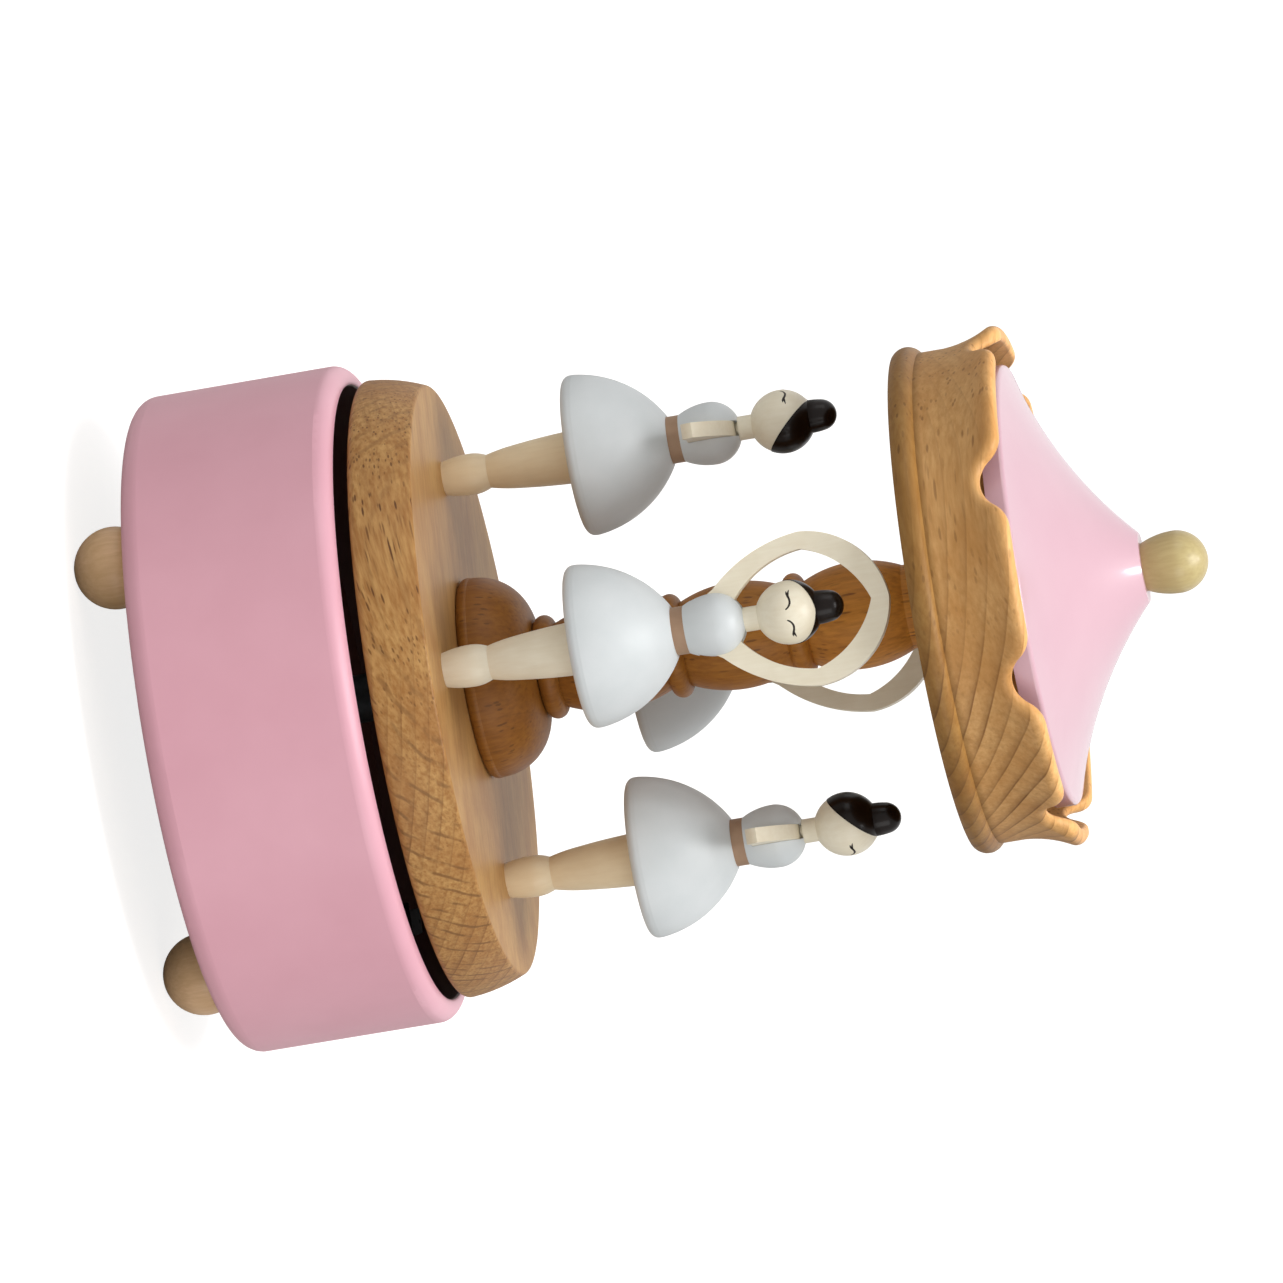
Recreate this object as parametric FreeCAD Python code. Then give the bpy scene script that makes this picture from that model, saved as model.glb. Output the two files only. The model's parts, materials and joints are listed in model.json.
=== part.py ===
# Wind-up music box: a round painted base on three ball feet, and on it a turning stage
# with a turned column, four wooden dancers and a scalloped crown with a cone roof.
# Millimetres. +Z is up, z = 0 is the surface it stands on, and the box's front is -Y.
# Angles round the axis are counted from the front, towards +X.
import FreeCAD
import Part
import math
import os
from FreeCAD import Vector

# Ball feet
foot_radius = 7.1
foot_drop = 10.3
foot_flat_radius = 1.7
foot_inset = 13.3
foot_angles = (-41.0, 73.0, 196.0)
foot_peg_radius = 2.5
foot_peg_length = 6.0

# Base shell and bottom board
base_radius = 57.5
base_height = 37.0
base_wall = 3.8
rim_inner_round = 0.6
rim_flat = 0.3
base_bottom_flat = 0.4
ledge_width = 5.2
ledge_height = 8.0
ledge_clearance = 1.0
board_thickness = 9.0
key_recess_radius = 15.0
key_recess_depth = 5.0
key_hole_radius = 4.0
glue_gap = 0.05

# Screws through the bottom board
board_screw_radius = 1.3
board_screw_length = 15.0
board_screw_head_radius = 2.4
board_screw_head_height = 1.6
board_screw_edge = 3.2
movement_screw_radius = 1.2
movement_screw_head_radius = 2.6
movement_screw_head_height = 1.6
movement_screw_sink = 2.4
movement_screw_grip = 4.0
screw_slot = 0.7

# Movement: bedplate
bed_thickness = 2.0
bed_boss_radius = 2.7
bed_boss_height = 4.6
bed_margin = 2.6
bed_end_half_width = 5.2
boss_clearance = 1.4

# Movement: spring barrel and winding arbor
barrel_radius = 12.2
barrel_wall = 0.9
barrel_height = 12.0
barrel_floor = 1.2
cover_thickness = 1.2
stud_radius = 2.0
stud_headroom = 2.6
arbor_radius = 1.5
arbor_fit = 0.04
arbor_collar_radius = 2.6
arbor_collar_height = 1.1
bed_bush_radius = 3.2
hub_radius = 3.4
spring_strip = 0.3
spring_turns = 7
spring_points_per_turn = 12
spring_end_gap = 0.35

# Movement: contrate wheel on the barrel and the pinion that it turns
wheel_teeth = 48
pinion_teeth = 16
wheel_face_gap = 0.5
wheel_face_width = 2.4
wheel_pitch_inset = 1.1
wheel_web = 1.5
tooth_reach = 0.8
tooth_depth = 1.0
tooth_tip_share = 0.26
tooth_root_share = 0.58
tooth_sink = 0.3

# Movement: pinned cylinder
drum_radius = 6.3
drum_wall = 0.8
drum_end_disc = 1.0
drum_side_gap = 1.1
drum_floor_gap = 0.6
track_count = 18
track_pitch = 0.95
pin_radius = 0.22
pin_height = 0.5
pin_root = 0.6
pins_per_track = 5
pin_places = 61
pin_step = 13
track_step = 7
arbor_thin_radius = 0.8
drum_gear_teeth = 40
drum_gear_pitch_radius = 7.2
drum_gear_width = 1.4
running_gap = 0.4
post_width = 1.2
post_half_width = 2.4

# Movement: comb
comb_thickness = 0.8
comb_tooth_length = 10.5
comb_shortest_tooth = 5.8
comb_root = 7.0
comb_slit = 0.2
comb_tip_gap = 0.2
comb_screw_radius = 1.2
comb_screw_head_radius = 2.3
comb_screw_head_height = 1.3
comb_screw_length = 5.0

# Movement: governor
governor_pinion_teeth = 10
worm_wheel_teeth = 22
worm_wheel_module = 0.5
worm_wheel_width = 1.4
worm_pitch_radius = 1.35
worm_thread_circle = 1.1
worm_thread_radius = 0.34
worm_turns = 5
worm_core_radius = 0.85
worm_pivot_radius = 0.4
worm_pivot_fit = 0.04
frame_plate = 1.0
frame_reach = 3.0
fly_radius = 3.6
fly_height = 3.0
fly_thickness = 0.5

# Winding key and its friction spring
key_hub_radius = 3.1
key_hub_length = 5.4
key_hub_gap = 0.8
key_wing_span = 21.0
key_wing_sink = 1.4
key_wing_thickness = 1.6
key_wing_round = 3.4
key_floor_gap = 1.9
click_wire_radius = 0.4
click_pitch = 1.05
click_turns = 3
click_gap = 0.4
click_tail_radius = 0.5
click_tail = 1.2

# Drive flange under the stage
flange_radius = 15.0
flange_thickness = 2.0
flange_hub_radius = 4.2
flange_hub_gap = 0.5
flange_screw_circle = 10.5
flange_screw_count = 3
flange_screw_radius = 1.2
flange_screw_length = 7.5
flange_screw_head_radius = 2.3
flange_screw_head_height = 1.3

# Stage
stage_gap = 2.2
stage_thickness = 10.7
stage_inset = 3.4
stage_taper = 2.6
stage_swell = 0.55
stage_bottom_round = 1.1
stage_top_round = 0.6
stage_floor = 3.2

# Column: dome foot, three rings and three vases
column_height = 81.2
column_foot_radius = 17.4
column_foot_height = 11.5
column_foot_top_radius = 8.6
column_foot_edge = 2.0
column_foot_swell = 2.55
column_neck_radius = 7.3
column_ring_heights = (33.6, 55.3)
column_ring_thickness = 3.6
column_ring_out = 1.75
column_vase_swell = 2.0
column_top_collar = 5.0
tenon_radius = 5.0

# Crown
crown_height = 18.7
crown_floor = 6.0
crown_waist_radius = 42.75
crown_waist_height = 8.4
crown_bead_out = 1.35
crown_bead_height = 4.2
crown_bead_swell = 1.1
crown_foot_in = 0.9
crown_flare_out = 3.75
crown_flare_hollow = 0.8
crown_wall = 2.5
crown_wall_top = 4.0
crown_edge_round = 1.6
crown_inner_edge_round = 0.8
edge_reach = 0.1
dip_angles = (-75.0, -25.5, 21.3, 64.5, 109.0, 152.0, 194.0, 236.5)
dip_depth = 4.0
dip_half_width = 8.6

# Roof and finial
roof_side_gap = 1.9
roof_tenon_depth = 5.0
roof_eave_bottom = 14.7
roof_eave_height = 3.6
roof_height = 21.5
roof_top_radius = 6.0
roof_hollow = 2.3
roof_eave_round = 0.8
roof_boss_radius = 12.0
finial_radius = 5.4
finial_height = 11.1
finial_widest = 5.4
finial_foot_radius = 4.1
finial_foot_swell = 0.3
finial_peg_radius = 2.0
finial_peg_length = 8.0

# Dancers: where they stand and how their heads turn
dancer_circle = 35.2
dancer_phase = -4.0
dancer_peg_radius = 1.5
dancer_peg_length = 6.0
dancer_angles = {"front": 0.0, "right": 90.0, "back": 177.7, "left": 270.0}
head_turns = {"front": 8.0, "right": 0.0, "back": 0.0, "left": 12.0}
hoop_places = ("front", "back")

# Dancer: legs, skirt, belt, torso
sole_radius = 2.95
shoe_radius = 3.6
shoe_height = 4.8
ankle_radius = 2.9
ankle_height = 7.9
knee_radius = 3.8
knee_height = 13.0
thigh_radius = 4.6
calf_swell = 0.1
thigh_swell = 0.1
arm_headroom = 4.05
waist_dowel_radius = 2.0
skirt_radius = 14.0
skirt_height = 16.7
skirt_top_radius = 4.5
skirt_swell = 2.05
skirt_edge_round = 1.4
skirt_edge_band = 0.6
belt_radius = 4.1
belt_height = 2.15
torso_height = 10.05
torso_radius = 5.45
torso_widest = 5.3
torso_bottom_radius = 4.1
torso_dowel_depth = 1.4

# Dancer: neck, head and hair
neck_radius = 2.1
neck_height = 2.4
neck_peg_radius = 1.2
neck_peg_length = 0.45
head_radius = 5.45
head_widest = 7.7
head_top_radius = 2.75
head_top_height = 12.5
bun_radius = 2.55
bun_side_height = 14.7
bun_side_swell = 0.05
bun_top_height = 17.1
hairline_height = 9.8
hairline_slope = 45.0
hairline_turn = 13.0
hair_proud = 0.12

# Dancer: arms cut from flat lath, their heights counted from the belt's top
lath = 2.6
lath_fit = 0.05
arm_root = 1.45
hoop_top = 35.1
hoop_inner_top = 32.05
hoop_half_width = 13.2
hoop_wide_height = 21.35
hoop_band = 2.95
hoop_upper_swell = 3.6
hoop_inner_swell = 1.8
hoop_lower_swell = 1.5
hoop_shoulder_half = 5.9
hoop_shoulder_height = 5.55
hoop_arm_inner_half = 3.5
hoop_arm_inner_height = 8.85
hoop_bottom_half = 3.4
hoop_bridge_height = 9.3
spread_half_span = 13.6
spread_tip_height = 3.5
spread_crest = 9.5
spread_tip_band = 2.9
spread_tip_drop = 2.0
spread_tip_swell = 0.3
spread_under_hollow = 0.4
spread_swell = 1.6

# Room that a cutting shape needs past the body it cuts
cutter_margin = 2.0

base_bottom = foot_drop
foot_centre = math.sqrt(foot_radius ** 2 - foot_flat_radius ** 2)
foot_circle = base_radius - foot_inset
board_top = base_bottom + board_thickness
base_inner_radius = base_radius - base_wall
base_top_round = base_wall - rim_inner_round - rim_flat
base_bottom_round = base_wall - base_bottom_flat
board_radius = base_inner_radius - glue_gap
rim_height = base_bottom + base_height
key_top = base_bottom + key_recess_depth - key_hub_gap
key_hub_low = key_top - key_hub_length
stage_bottom = rim_height + stage_gap
stage_top = stage_bottom + stage_thickness
stage_bottom_radius = base_radius - stage_inset
stage_top_radius = stage_bottom_radius - stage_taper
lower_tenon_length = stage_thickness - stage_floor
upper_tenon_length = crown_floor + roof_tenon_depth
crown_bottom = stage_top + column_height
crown_top_radius = crown_waist_radius + crown_flare_out
crown_inner_radius = crown_waist_radius - crown_wall
roof_eave_radius = crown_inner_radius - roof_side_gap
leg_height = column_height - arm_headroom - hoop_top - belt_height - skirt_height
belt_top = leg_height + skirt_height + belt_height
bed_top = board_top + bed_thickness
wheel_face_inner = barrel_radius + wheel_face_gap
wheel_face_outer = wheel_face_inner + wheel_face_width
wheel_pitch_radius = wheel_face_inner + wheel_pitch_inset
wheel_module = 2 * wheel_pitch_radius / wheel_teeth
pinion_pitch_radius = wheel_pitch_radius * pinion_teeth / wheel_teeth
drum_gear_outer_radius = drum_gear_pitch_radius * (1 + 2 * tooth_reach / drum_gear_teeth)
drum_axis_height = bed_top + drum_floor_gap + max(drum_gear_outer_radius, drum_radius + pin_height)
wheel_mid = drum_axis_height - pinion_pitch_radius
barrel_bottom = wheel_mid - tooth_depth * wheel_module - wheel_web
barrel_top = barrel_bottom + barrel_height
cover_top = barrel_top + cover_thickness
post_start = wheel_face_outer + running_gap
drum_bore = drum_radius - drum_wall
drum_start = post_start + post_width + drum_side_gap
drum_length = track_count * track_pitch + track_pitch
drum_end = drum_start + drum_length
gear_start = drum_end
gear_end = gear_start + drum_gear_width
frame_start = gear_end + running_gap
frame_end = frame_start + post_width
governor_pinion_pitch_radius = drum_gear_pitch_radius * governor_pinion_teeth / drum_gear_teeth
governor_offset = drum_gear_pitch_radius + governor_pinion_pitch_radius
worm_wheel_pitch_radius = worm_wheel_module * worm_wheel_teeth / 2
worm_wheel_start = frame_end + running_gap
worm_wheel_end = worm_wheel_start + worm_wheel_width
outer_frame_start = worm_wheel_end + running_gap
outer_frame_end = outer_frame_start + frame_plate
worm_x = (worm_wheel_start + worm_wheel_end) / 2
worm_y = governor_offset + worm_wheel_pitch_radius + worm_pitch_radius
pin_tip_radius = drum_radius + pin_height
flange_bottom = stage_bottom - flange_thickness
stud_top = flange_bottom - stud_headroom
comb_tip_y = -(pin_tip_radius + comb_tip_gap)
comb_root_y = comb_tip_y - comb_tooth_length
comb_back_y = comb_root_y - comb_root
comb_front_x = drum_start + track_pitch / 2
comb_width = track_count * track_pitch
comb_middle_x = comb_front_x + comb_width / 2
comb_middle_y = (comb_root_y + comb_back_y) / 2
comb_bottom = drum_axis_height - comb_thickness / 2
movement_holes = (
    (-(wheel_face_outer + bed_boss_radius + running_gap), 0.0),
    (comb_middle_x, pin_tip_radius + bed_boss_radius + boss_clearance),
    (comb_middle_x, comb_middle_y),
)

os.makedirs("parts", exist_ok=True)
up = Vector(0, 0, 1)
origin = Vector(0, 0, 0)


def save(name, shape):
    shape.exportStep("parts/" + name + ".step")


def around(radius, angle):
    # a point at this radius, its angle counted from the front
    turn = math.radians(angle)
    return radius * math.sin(turn), -radius * math.cos(turn)


def bowed(start, end, rise):
    # an arc from start to end in the XZ plane, whose middle stands off its chord by rise,
    # to the right of the way from start to end
    along = end.sub(start)
    side = Vector(along.z, 0, -along.x).normalize()
    middle = start.add(end).multiply(0.5).add(side.multiply(rise))
    return Part.Arc(start, middle, end).toShape()


def dome_rise(along, aside):
    # how far an arc stands off its chord, when it sets out along a line, as a dome does
    # from its top, and ends this far along the line and this far aside of it
    ball = (along ** 2 + aside ** 2) / (2 * aside)
    half_chord = math.hypot(along, aside) / 2
    return ball - math.sqrt(ball ** 2 - half_chord ** 2)


def outline(start, steps):
    # a closed wire in the XZ plane; a step is (x, z), or (x, z, rise) for an arc
    edges = []
    first = Vector(start[0], 0, start[1])
    here = first
    for step in steps:
        there = Vector(step[0], 0, step[1])
        if len(step) == 3:
            edges.append(bowed(here, there, step[2]))
        else:
            edges.append(Part.LineSegment(here, there).toShape())
        here = there
    if here.distanceToPoint(first) > 0.001:
        edges.append(Part.LineSegment(here, first).toShape())
    return Part.Wire(edges)


def turned(start, steps):
    # a body turned on the lathe from half of its section
    return Part.Face(outline(start, steps)).revolve(origin, up, 360)


def rod(radius, low, high, x=0.0, y=0.0):
    return Part.makeCylinder(radius, high - low, Vector(x, y, low))


def cross_rod(radius, low, high, y, z):
    return Part.makeCylinder(radius, high - low, Vector(low, y, z), Vector(1, 0, 0))


def block(low, high):
    size = Vector(*high).sub(Vector(*low))
    return Part.makeBox(size.x, size.y, size.z, Vector(*low))


def soften(shape, radius, height, size):
    # rounds the circular edge of this radius at this height
    def matches(edge):
        curve = edge.Curve
        return (isinstance(curve, Part.Circle) and abs(curve.Radius - radius) < 0.01
                and abs(curve.Center.z - height) < 0.01)
    return shape.makeFillet(size, [edge for edge in shape.Edges if matches(edge)])


def screw(radius, length, head_radius, head_height, x, y, seat, way):
    # a screw whose head rests on the height called seat and whose shank points up or down
    low, high = sorted((seat, seat + way * length))
    head_low, head_high = sorted((seat, seat - way * head_height))
    body = rod(radius, low, high, x, y).fuse(rod(head_radius, head_low, head_high, x, y))
    half = screw_slot / 2
    face = seat - way * head_height
    slot = block((x - head_radius, y - half, face - half), (x + head_radius, y + half, face + half))
    return body.cut(slot).removeSplitter()


def spur_wheel(teeth, pitch_radius, low, high, y, z, gap_angle):
    # a toothed wheel on an axis along X, with a gap between teeth at gap_angle,
    # which is counted in the YZ plane from +Y towards +Z
    pitch = 2 * math.pi / teeth
    module = 2 * pitch_radius / teeth
    outer = pitch_radius + tooth_reach * module
    inner = pitch_radius - tooth_depth * module
    root, tip = tooth_root_share / 2, tooth_tip_share / 2
    points = []
    for tooth in range(teeth):
        middle = math.radians(gap_angle) + (tooth + 0.5) * pitch
        for radius, share in ((inner, -root), (outer, -tip), (outer, tip), (inner, root)):
            angle = middle + share * pitch
            points.append(Vector(low, y + radius * math.cos(angle), z + radius * math.sin(angle)))
    points.append(points[0])
    return Part.Face(Part.makePolygon(points)).extrude(Vector(high - low, 0, 0))


def compound(shapes):
    return Part.makeCompound(shapes)


def ball_feet():
    feet = []
    for angle in foot_angles:
        x, y = around(foot_circle, angle)
        ball = Part.makeSphere(foot_radius, Vector(x, y, foot_centre))
        span = foot_radius + cutter_margin
        room = block((x - span, y - span, 0), (x + span, y + span, base_bottom))
        peg = rod(foot_peg_radius, base_bottom, base_bottom + foot_peg_length, x, y)
        feet.append(ball.common(room).fuse(peg).removeSplitter())
    return compound(feet)


def foot_holes():
    holes = []
    for angle in foot_angles:
        x, y = around(foot_circle, angle)
        top = base_bottom + foot_peg_length + glue_gap
        holes.append(rod(foot_peg_radius + glue_gap, base_bottom, top, x, y))
    return holes


def board_screw_places():
    places = []
    angles = list(foot_angles) + [foot_angles[0] + 360]
    for first, second in zip(angles, angles[1:]):
        places.append(around(base_inner_radius - board_screw_edge, (first + second) / 2))
    return places


def base_shell():
    inner = base_inner_radius
    ledge = inner - ledge_width
    ledge_top = board_top + ledge_height
    shell = turned((inner, base_bottom), [
        (base_radius, base_bottom), (base_radius, rim_height), (inner, rim_height),
        (inner, ledge_top + ledge_width), (ledge, ledge_top), (ledge, board_top), (inner, board_top)])
    shell = soften(shell, base_radius, rim_height, base_top_round)
    shell = soften(shell, base_radius, base_bottom, base_bottom_round)
    shell = soften(shell, inner, rim_height, rim_inner_round)
    # where the base is narrower, the ledge makes room for the end of the movement
    reach_x = outer_frame_end + ledge_clearance
    reach_y = worm_y + frame_reach + ledge_clearance
    room_top = ledge_top + ledge_width
    shell = shell.cut(block((0, comb_root_y, board_top), (reach_x, reach_y, room_top)))
    shell = shell.cut(rod(fly_radius + ledge_clearance, board_top, room_top, worm_x, worm_y))
    depth =base_bottom + board_screw_head_height + board_screw_length
    for x, y in board_screw_places():
        shell = shell.cut(rod(board_screw_radius + glue_gap, board_top, depth + glue_gap, x, y))
    return shell


def base_board():
    board = rod(board_radius, base_bottom, board_top)
    board = board.cut(rod(key_recess_radius, base_bottom, base_bottom + key_recess_depth))
    board = board.cut(rod(key_hole_radius, base_bottom, board_top))
    for hole in foot_holes():
        board = board.cut(hole)
    for x, y in board_screw_places():
        head_top = base_bottom + board_screw_head_height
        board = board.cut(rod(board_screw_head_radius + glue_gap, base_bottom, head_top, x, y))
        board = board.cut(rod(board_screw_radius + glue_gap, base_bottom, board_top, x, y))
    for x, y in movement_holes:
        sink_top = base_bottom + movement_screw_sink
        board = board.cut(rod(movement_screw_head_radius + glue_gap, base_bottom, sink_top, x, y))
        board = board.cut(rod(movement_screw_radius + glue_gap, base_bottom, board_top, x, y))
    return board


def board_screws():
    seat = base_bottom + board_screw_head_height
    return compound([screw(board_screw_radius, board_screw_length, board_screw_head_radius,
                           board_screw_head_height, x, y, seat, 1) for x, y in board_screw_places()])


def movement_screws():
    seat = base_bottom + movement_screw_sink
    length = board_top - seat + movement_screw_grip
    return compound([screw(movement_screw_radius, length, movement_screw_head_radius,
                           movement_screw_head_height, x, y, seat, 1) for x, y in movement_holes])


def cylinder_post():
    # the upright between the pinion and the drum, rounded over the arbor
    post_end = post_start + post_width
    post = block((post_start, -post_half_width, board_top), (post_end, post_half_width, drum_axis_height))
    top = cross_rod(post_half_width, post_start, post_end, 0, drum_axis_height)
    return post.fuse(top)


def bedplate():
    end = movement_holes[0][0] - bed_margin
    corners = [(end, -bed_end_half_width), (end, bed_end_half_width),
               (-wheel_face_outer / 2, wheel_face_outer), (outer_frame_end, worm_y + frame_reach),
               (outer_frame_end, comb_root_y), (comb_front_x + comb_width, comb_back_y),
               (comb_front_x, comb_back_y), (-wheel_face_outer / 2, -wheel_face_outer)]
    points = [Vector(x, y, board_top) for x, y in corners]
    plate = Part.Face(Part.makePolygon(points + points[:1])).extrude(Vector(0, 0, bed_thickness))
    plate = plate.fuse(rod(bed_bush_radius, board_top, barrel_bottom - arbor_collar_height - arbor_fit))
    seat = block((comb_front_x, comb_back_y, board_top),
                 (comb_front_x + comb_width, comb_root_y, comb_bottom))
    plate = plate.fuse(seat).fuse(cylinder_post())
    for x, y in movement_holes:
        plate = plate.fuse(rod(bed_boss_radius, board_top, board_top + bed_boss_height, x, y))
    plate = plate.removeSplitter()
    plate = plate.cut(rod(arbor_radius + arbor_fit, board_top, barrel_bottom))
    bearing_end = post_start + post_width
    plate = plate.cut(cross_rod(arbor_thin_radius + arbor_fit, post_start, bearing_end, 0, drum_axis_height))
    for x, y in movement_holes:
        top = board_top + movement_screw_grip + glue_gap
        plate = plate.cut(rod(movement_screw_radius + glue_gap, board_top, top, x, y))
    for x, y in comb_screw_places():
        low = comb_bottom + comb_thickness - comb_screw_length - glue_gap
        plate = plate.cut(rod(comb_screw_radius + glue_gap, low, comb_bottom, x, y))
    tail_top = board_top + click_tail + glue_gap
    plate = plate.cut(rod(click_tail_radius + glue_gap, board_top, tail_top, click_circle(), 0))
    pivot = bed_top - bed_thickness / 2
    return plate.cut(rod(worm_pivot_radius + worm_pivot_fit, pivot, bed_top, worm_x, worm_y))


def comb_screw_places():
    quarter = comb_width / 4
    return ((comb_middle_x - quarter, comb_middle_y), (comb_middle_x + quarter, comb_middle_y))


def music_comb():
    comb = block((comb_front_x, comb_back_y, comb_bottom),
                 (comb_front_x + comb_width, comb_tip_y, comb_bottom + comb_thickness))
    slits = []
    for gap in range(1, track_count):
        x = comb_front_x + gap * track_pitch
        length = comb_shortest_tooth + (comb_tooth_length - comb_shortest_tooth) * gap / track_count
        slits.append(block((x - comb_slit / 2, comb_tip_y - length, comb_bottom),
                           (x + comb_slit / 2, comb_tip_y, comb_bottom + comb_thickness)))
    comb = comb.cut(compound(slits))
    for x, y in comb_screw_places():
        comb = comb.cut(rod(comb_screw_radius + glue_gap, comb_bottom, comb_bottom + comb_thickness, x, y))
    return comb


def comb_screws():
    return compound([screw(comb_screw_radius, comb_screw_length, comb_screw_head_radius,
                           comb_screw_head_height, x, y, comb_bottom + comb_thickness, -1)
                     for x, y in comb_screw_places()])


def spring_barrel():
    # a cup with the contrate wheel as its lower flange, teeth upwards
    web_top = barrel_bottom + wheel_web
    cup = turned((arbor_radius + arbor_fit, barrel_bottom), [
        (wheel_face_outer, barrel_bottom), (wheel_face_outer, web_top), (barrel_radius, web_top),
        (barrel_radius, barrel_top), (barrel_radius - barrel_wall, barrel_top),
        (barrel_radius - barrel_wall, barrel_bottom + barrel_floor),
        (arbor_radius + arbor_fit, barrel_bottom + barrel_floor)])
    pitch = 2 * math.pi / wheel_teeth
    tip_height = wheel_mid + tooth_reach * wheel_module
    teeth = []
    for tooth in range(wheel_teeth):
        rings = []
        for height, share in ((web_top - tooth_sink, tooth_root_share), (tip_height, tooth_tip_share)):
            corners = []
            for radius, side in ((wheel_face_inner, -0.5), (wheel_face_outer, -0.5),
                                 (wheel_face_outer, 0.5), (wheel_face_inner, 0.5)):
                angle = (tooth + side * share) * pitch
                corners.append(Vector(radius * math.cos(angle), radius * math.sin(angle), height))
            rings.append(Part.makePolygon(corners + corners[:1]))
        teeth.append(Part.makeLoft(rings, True, True))
    return cup.fuse(teeth).removeSplitter()


def barrel_cover():
    # the lid, with the stud that carries the stage and a blind hole for the arbor's end
    lid = rod(barrel_radius, barrel_top, cover_top)
    inner = rod(barrel_radius - barrel_wall - glue_gap, barrel_top - cover_thickness, barrel_top)
    stud = rod(stud_radius, cover_top, stud_top)
    bore = rod(arbor_radius + arbor_fit, barrel_top - cover_thickness, barrel_top)
    return lid.fuse(inner).fuse(stud).removeSplitter().cut(bore)


def mainspring():
    # a strip coiled evenly from the hub out to the barrel's wall
    low = barrel_bottom + barrel_floor + running_gap
    high = barrel_top - cover_thickness - running_gap
    inner = hub_radius + spring_end_gap
    outer = barrel_radius - barrel_wall - spring_end_gap - spring_strip
    steps = spring_turns * spring_points_per_turn
    curves = []
    for offset in (0.0, spring_strip):
        points = []
        for step in range(steps + 1):
            radius = inner + (outer - inner) * step / steps + offset
            angle = 2 * math.pi * spring_turns * step / steps
            points.append(Vector(radius * math.cos(angle), radius * math.sin(angle), low))
        curve = Part.BSplineCurve()
        curve.interpolate(points)
        curves.append(curve.toShape())
    start, end = curves[0].Vertexes[0].Point, curves[1].Vertexes[0].Point
    stop, last = curves[0].Vertexes[-1].Point, curves[1].Vertexes[-1].Point
    caps = [Part.LineSegment(start, end).toShape(), Part.LineSegment(stop, last).toShape()]
    wire = Part.Wire(Part.__sortEdges__([curves[0], caps[1], curves[1], caps[0]]))
    return Part.Face(wire).extrude(Vector(0, 0, high - low))


def winding_arbor():
    # the shaft from the key up to the barrel's lid, with its collar and the spring's hub
    top = barrel_top - running_gap
    hub_low = barrel_bottom + barrel_floor + running_gap
    hub_high = barrel_top - cover_thickness - running_gap
    collar_top = barrel_bottom - arbor_fit
    collar = rod(arbor_collar_radius, barrel_bottom - arbor_collar_height, collar_top)
    hub = rod(hub_radius, hub_low, hub_high)
    return rod(arbor_radius, key_hub_low, top).fuse(collar).fuse(hub).removeSplitter()


def winding_key():
    # a butterfly key on a round hub
    hub = rod(key_hub_radius, key_hub_low, key_top)
    half = key_wing_span / 2
    side = key_wing_thickness / 2
    wing = block((-half, -side, key_floor_gap), (half, side, key_hub_low + key_wing_sink))
    crossing = [edge for edge in wing.Edges
                if abs(edge.Vertexes[0].Point.y - edge.Vertexes[-1].Point.y) > side]
    wing = wing.makeFillet(key_wing_round, crossing)
    bore = rod(arbor_radius + glue_gap, key_hub_low, key_top)
    return hub.fuse(wing).removeSplitter().cut(bore)


def click_circle():
    return arbor_radius + click_gap + click_wire_radius


def click_spring():
    # rings of wire round the arbor under the bedplate, and a thicker tail up into a hole in the plate
    ring = click_circle()
    top = board_top - click_wire_radius - click_gap
    low = top - click_pitch * (click_turns - 1)
    spring = rod(click_tail_radius, low - click_tail_radius, board_top + click_tail, ring, 0)
    for turn in range(click_turns):
        spring = spring.fuse(Part.makeTorus(ring, click_wire_radius, Vector(0, 0, top - turn * click_pitch)))
    return spring


def cylinder_arbor():
    # the thin steel arbor that carries pinion, drum and gear
    low = barrel_radius + running_gap
    shaft = cross_rod(arbor_thin_radius, low, frame_end - running_gap / 4, 0, drum_axis_height)
    pinion = spur_wheel(pinion_teeth, pinion_pitch_radius, low, wheel_face_outer, 0, drum_axis_height, -90)
    return shaft.fuse(pinion).removeSplitter()


def tune_cylinder():
    # a brass drum with end discs, and steel pins in rows that pluck the comb
    z = drum_axis_height
    drum = cross_rod(drum_radius, drum_start, drum_end, 0, z)
    hollow = cross_rod(drum_bore, drum_start + drum_end_disc, drum_end - drum_end_disc, 0, z)
    drum = drum.cut(hollow).cut(cross_rod(arbor_thin_radius + glue_gap, drum_start, drum_end, 0, z))
    pins = []
    for track in range(track_count):
        x = comb_front_x + (track + 0.5) * track_pitch
        for pin in range(pins_per_track):
            # a track's pins stand at steps that don't line up with the next track's
            place = (track * track_step + pin * pin_step) % pin_places
            turn = 2 * math.pi * (place + 0.5) / pin_places
            way = Vector(0, math.cos(turn), math.sin(turn))
            foot = Vector(x, 0, z).add(Vector(way).multiply(drum_radius - pin_root))
            pins.append(Part.makeCylinder(pin_radius, pin_root + pin_height, foot, way))
    return drum.fuse(pins)


def drum_gear():
    # a tooth of this gear points at the governor's arbor
    gap = 180.0 / drum_gear_teeth
    gear = spur_wheel(drum_gear_teeth, drum_gear_pitch_radius, gear_start + glue_gap, gear_end, 0,
                      drum_axis_height, gap)
    return gear.cut(cross_rod(arbor_thin_radius + glue_gap, gear_start, gear_end, 0, drum_axis_height))


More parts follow.
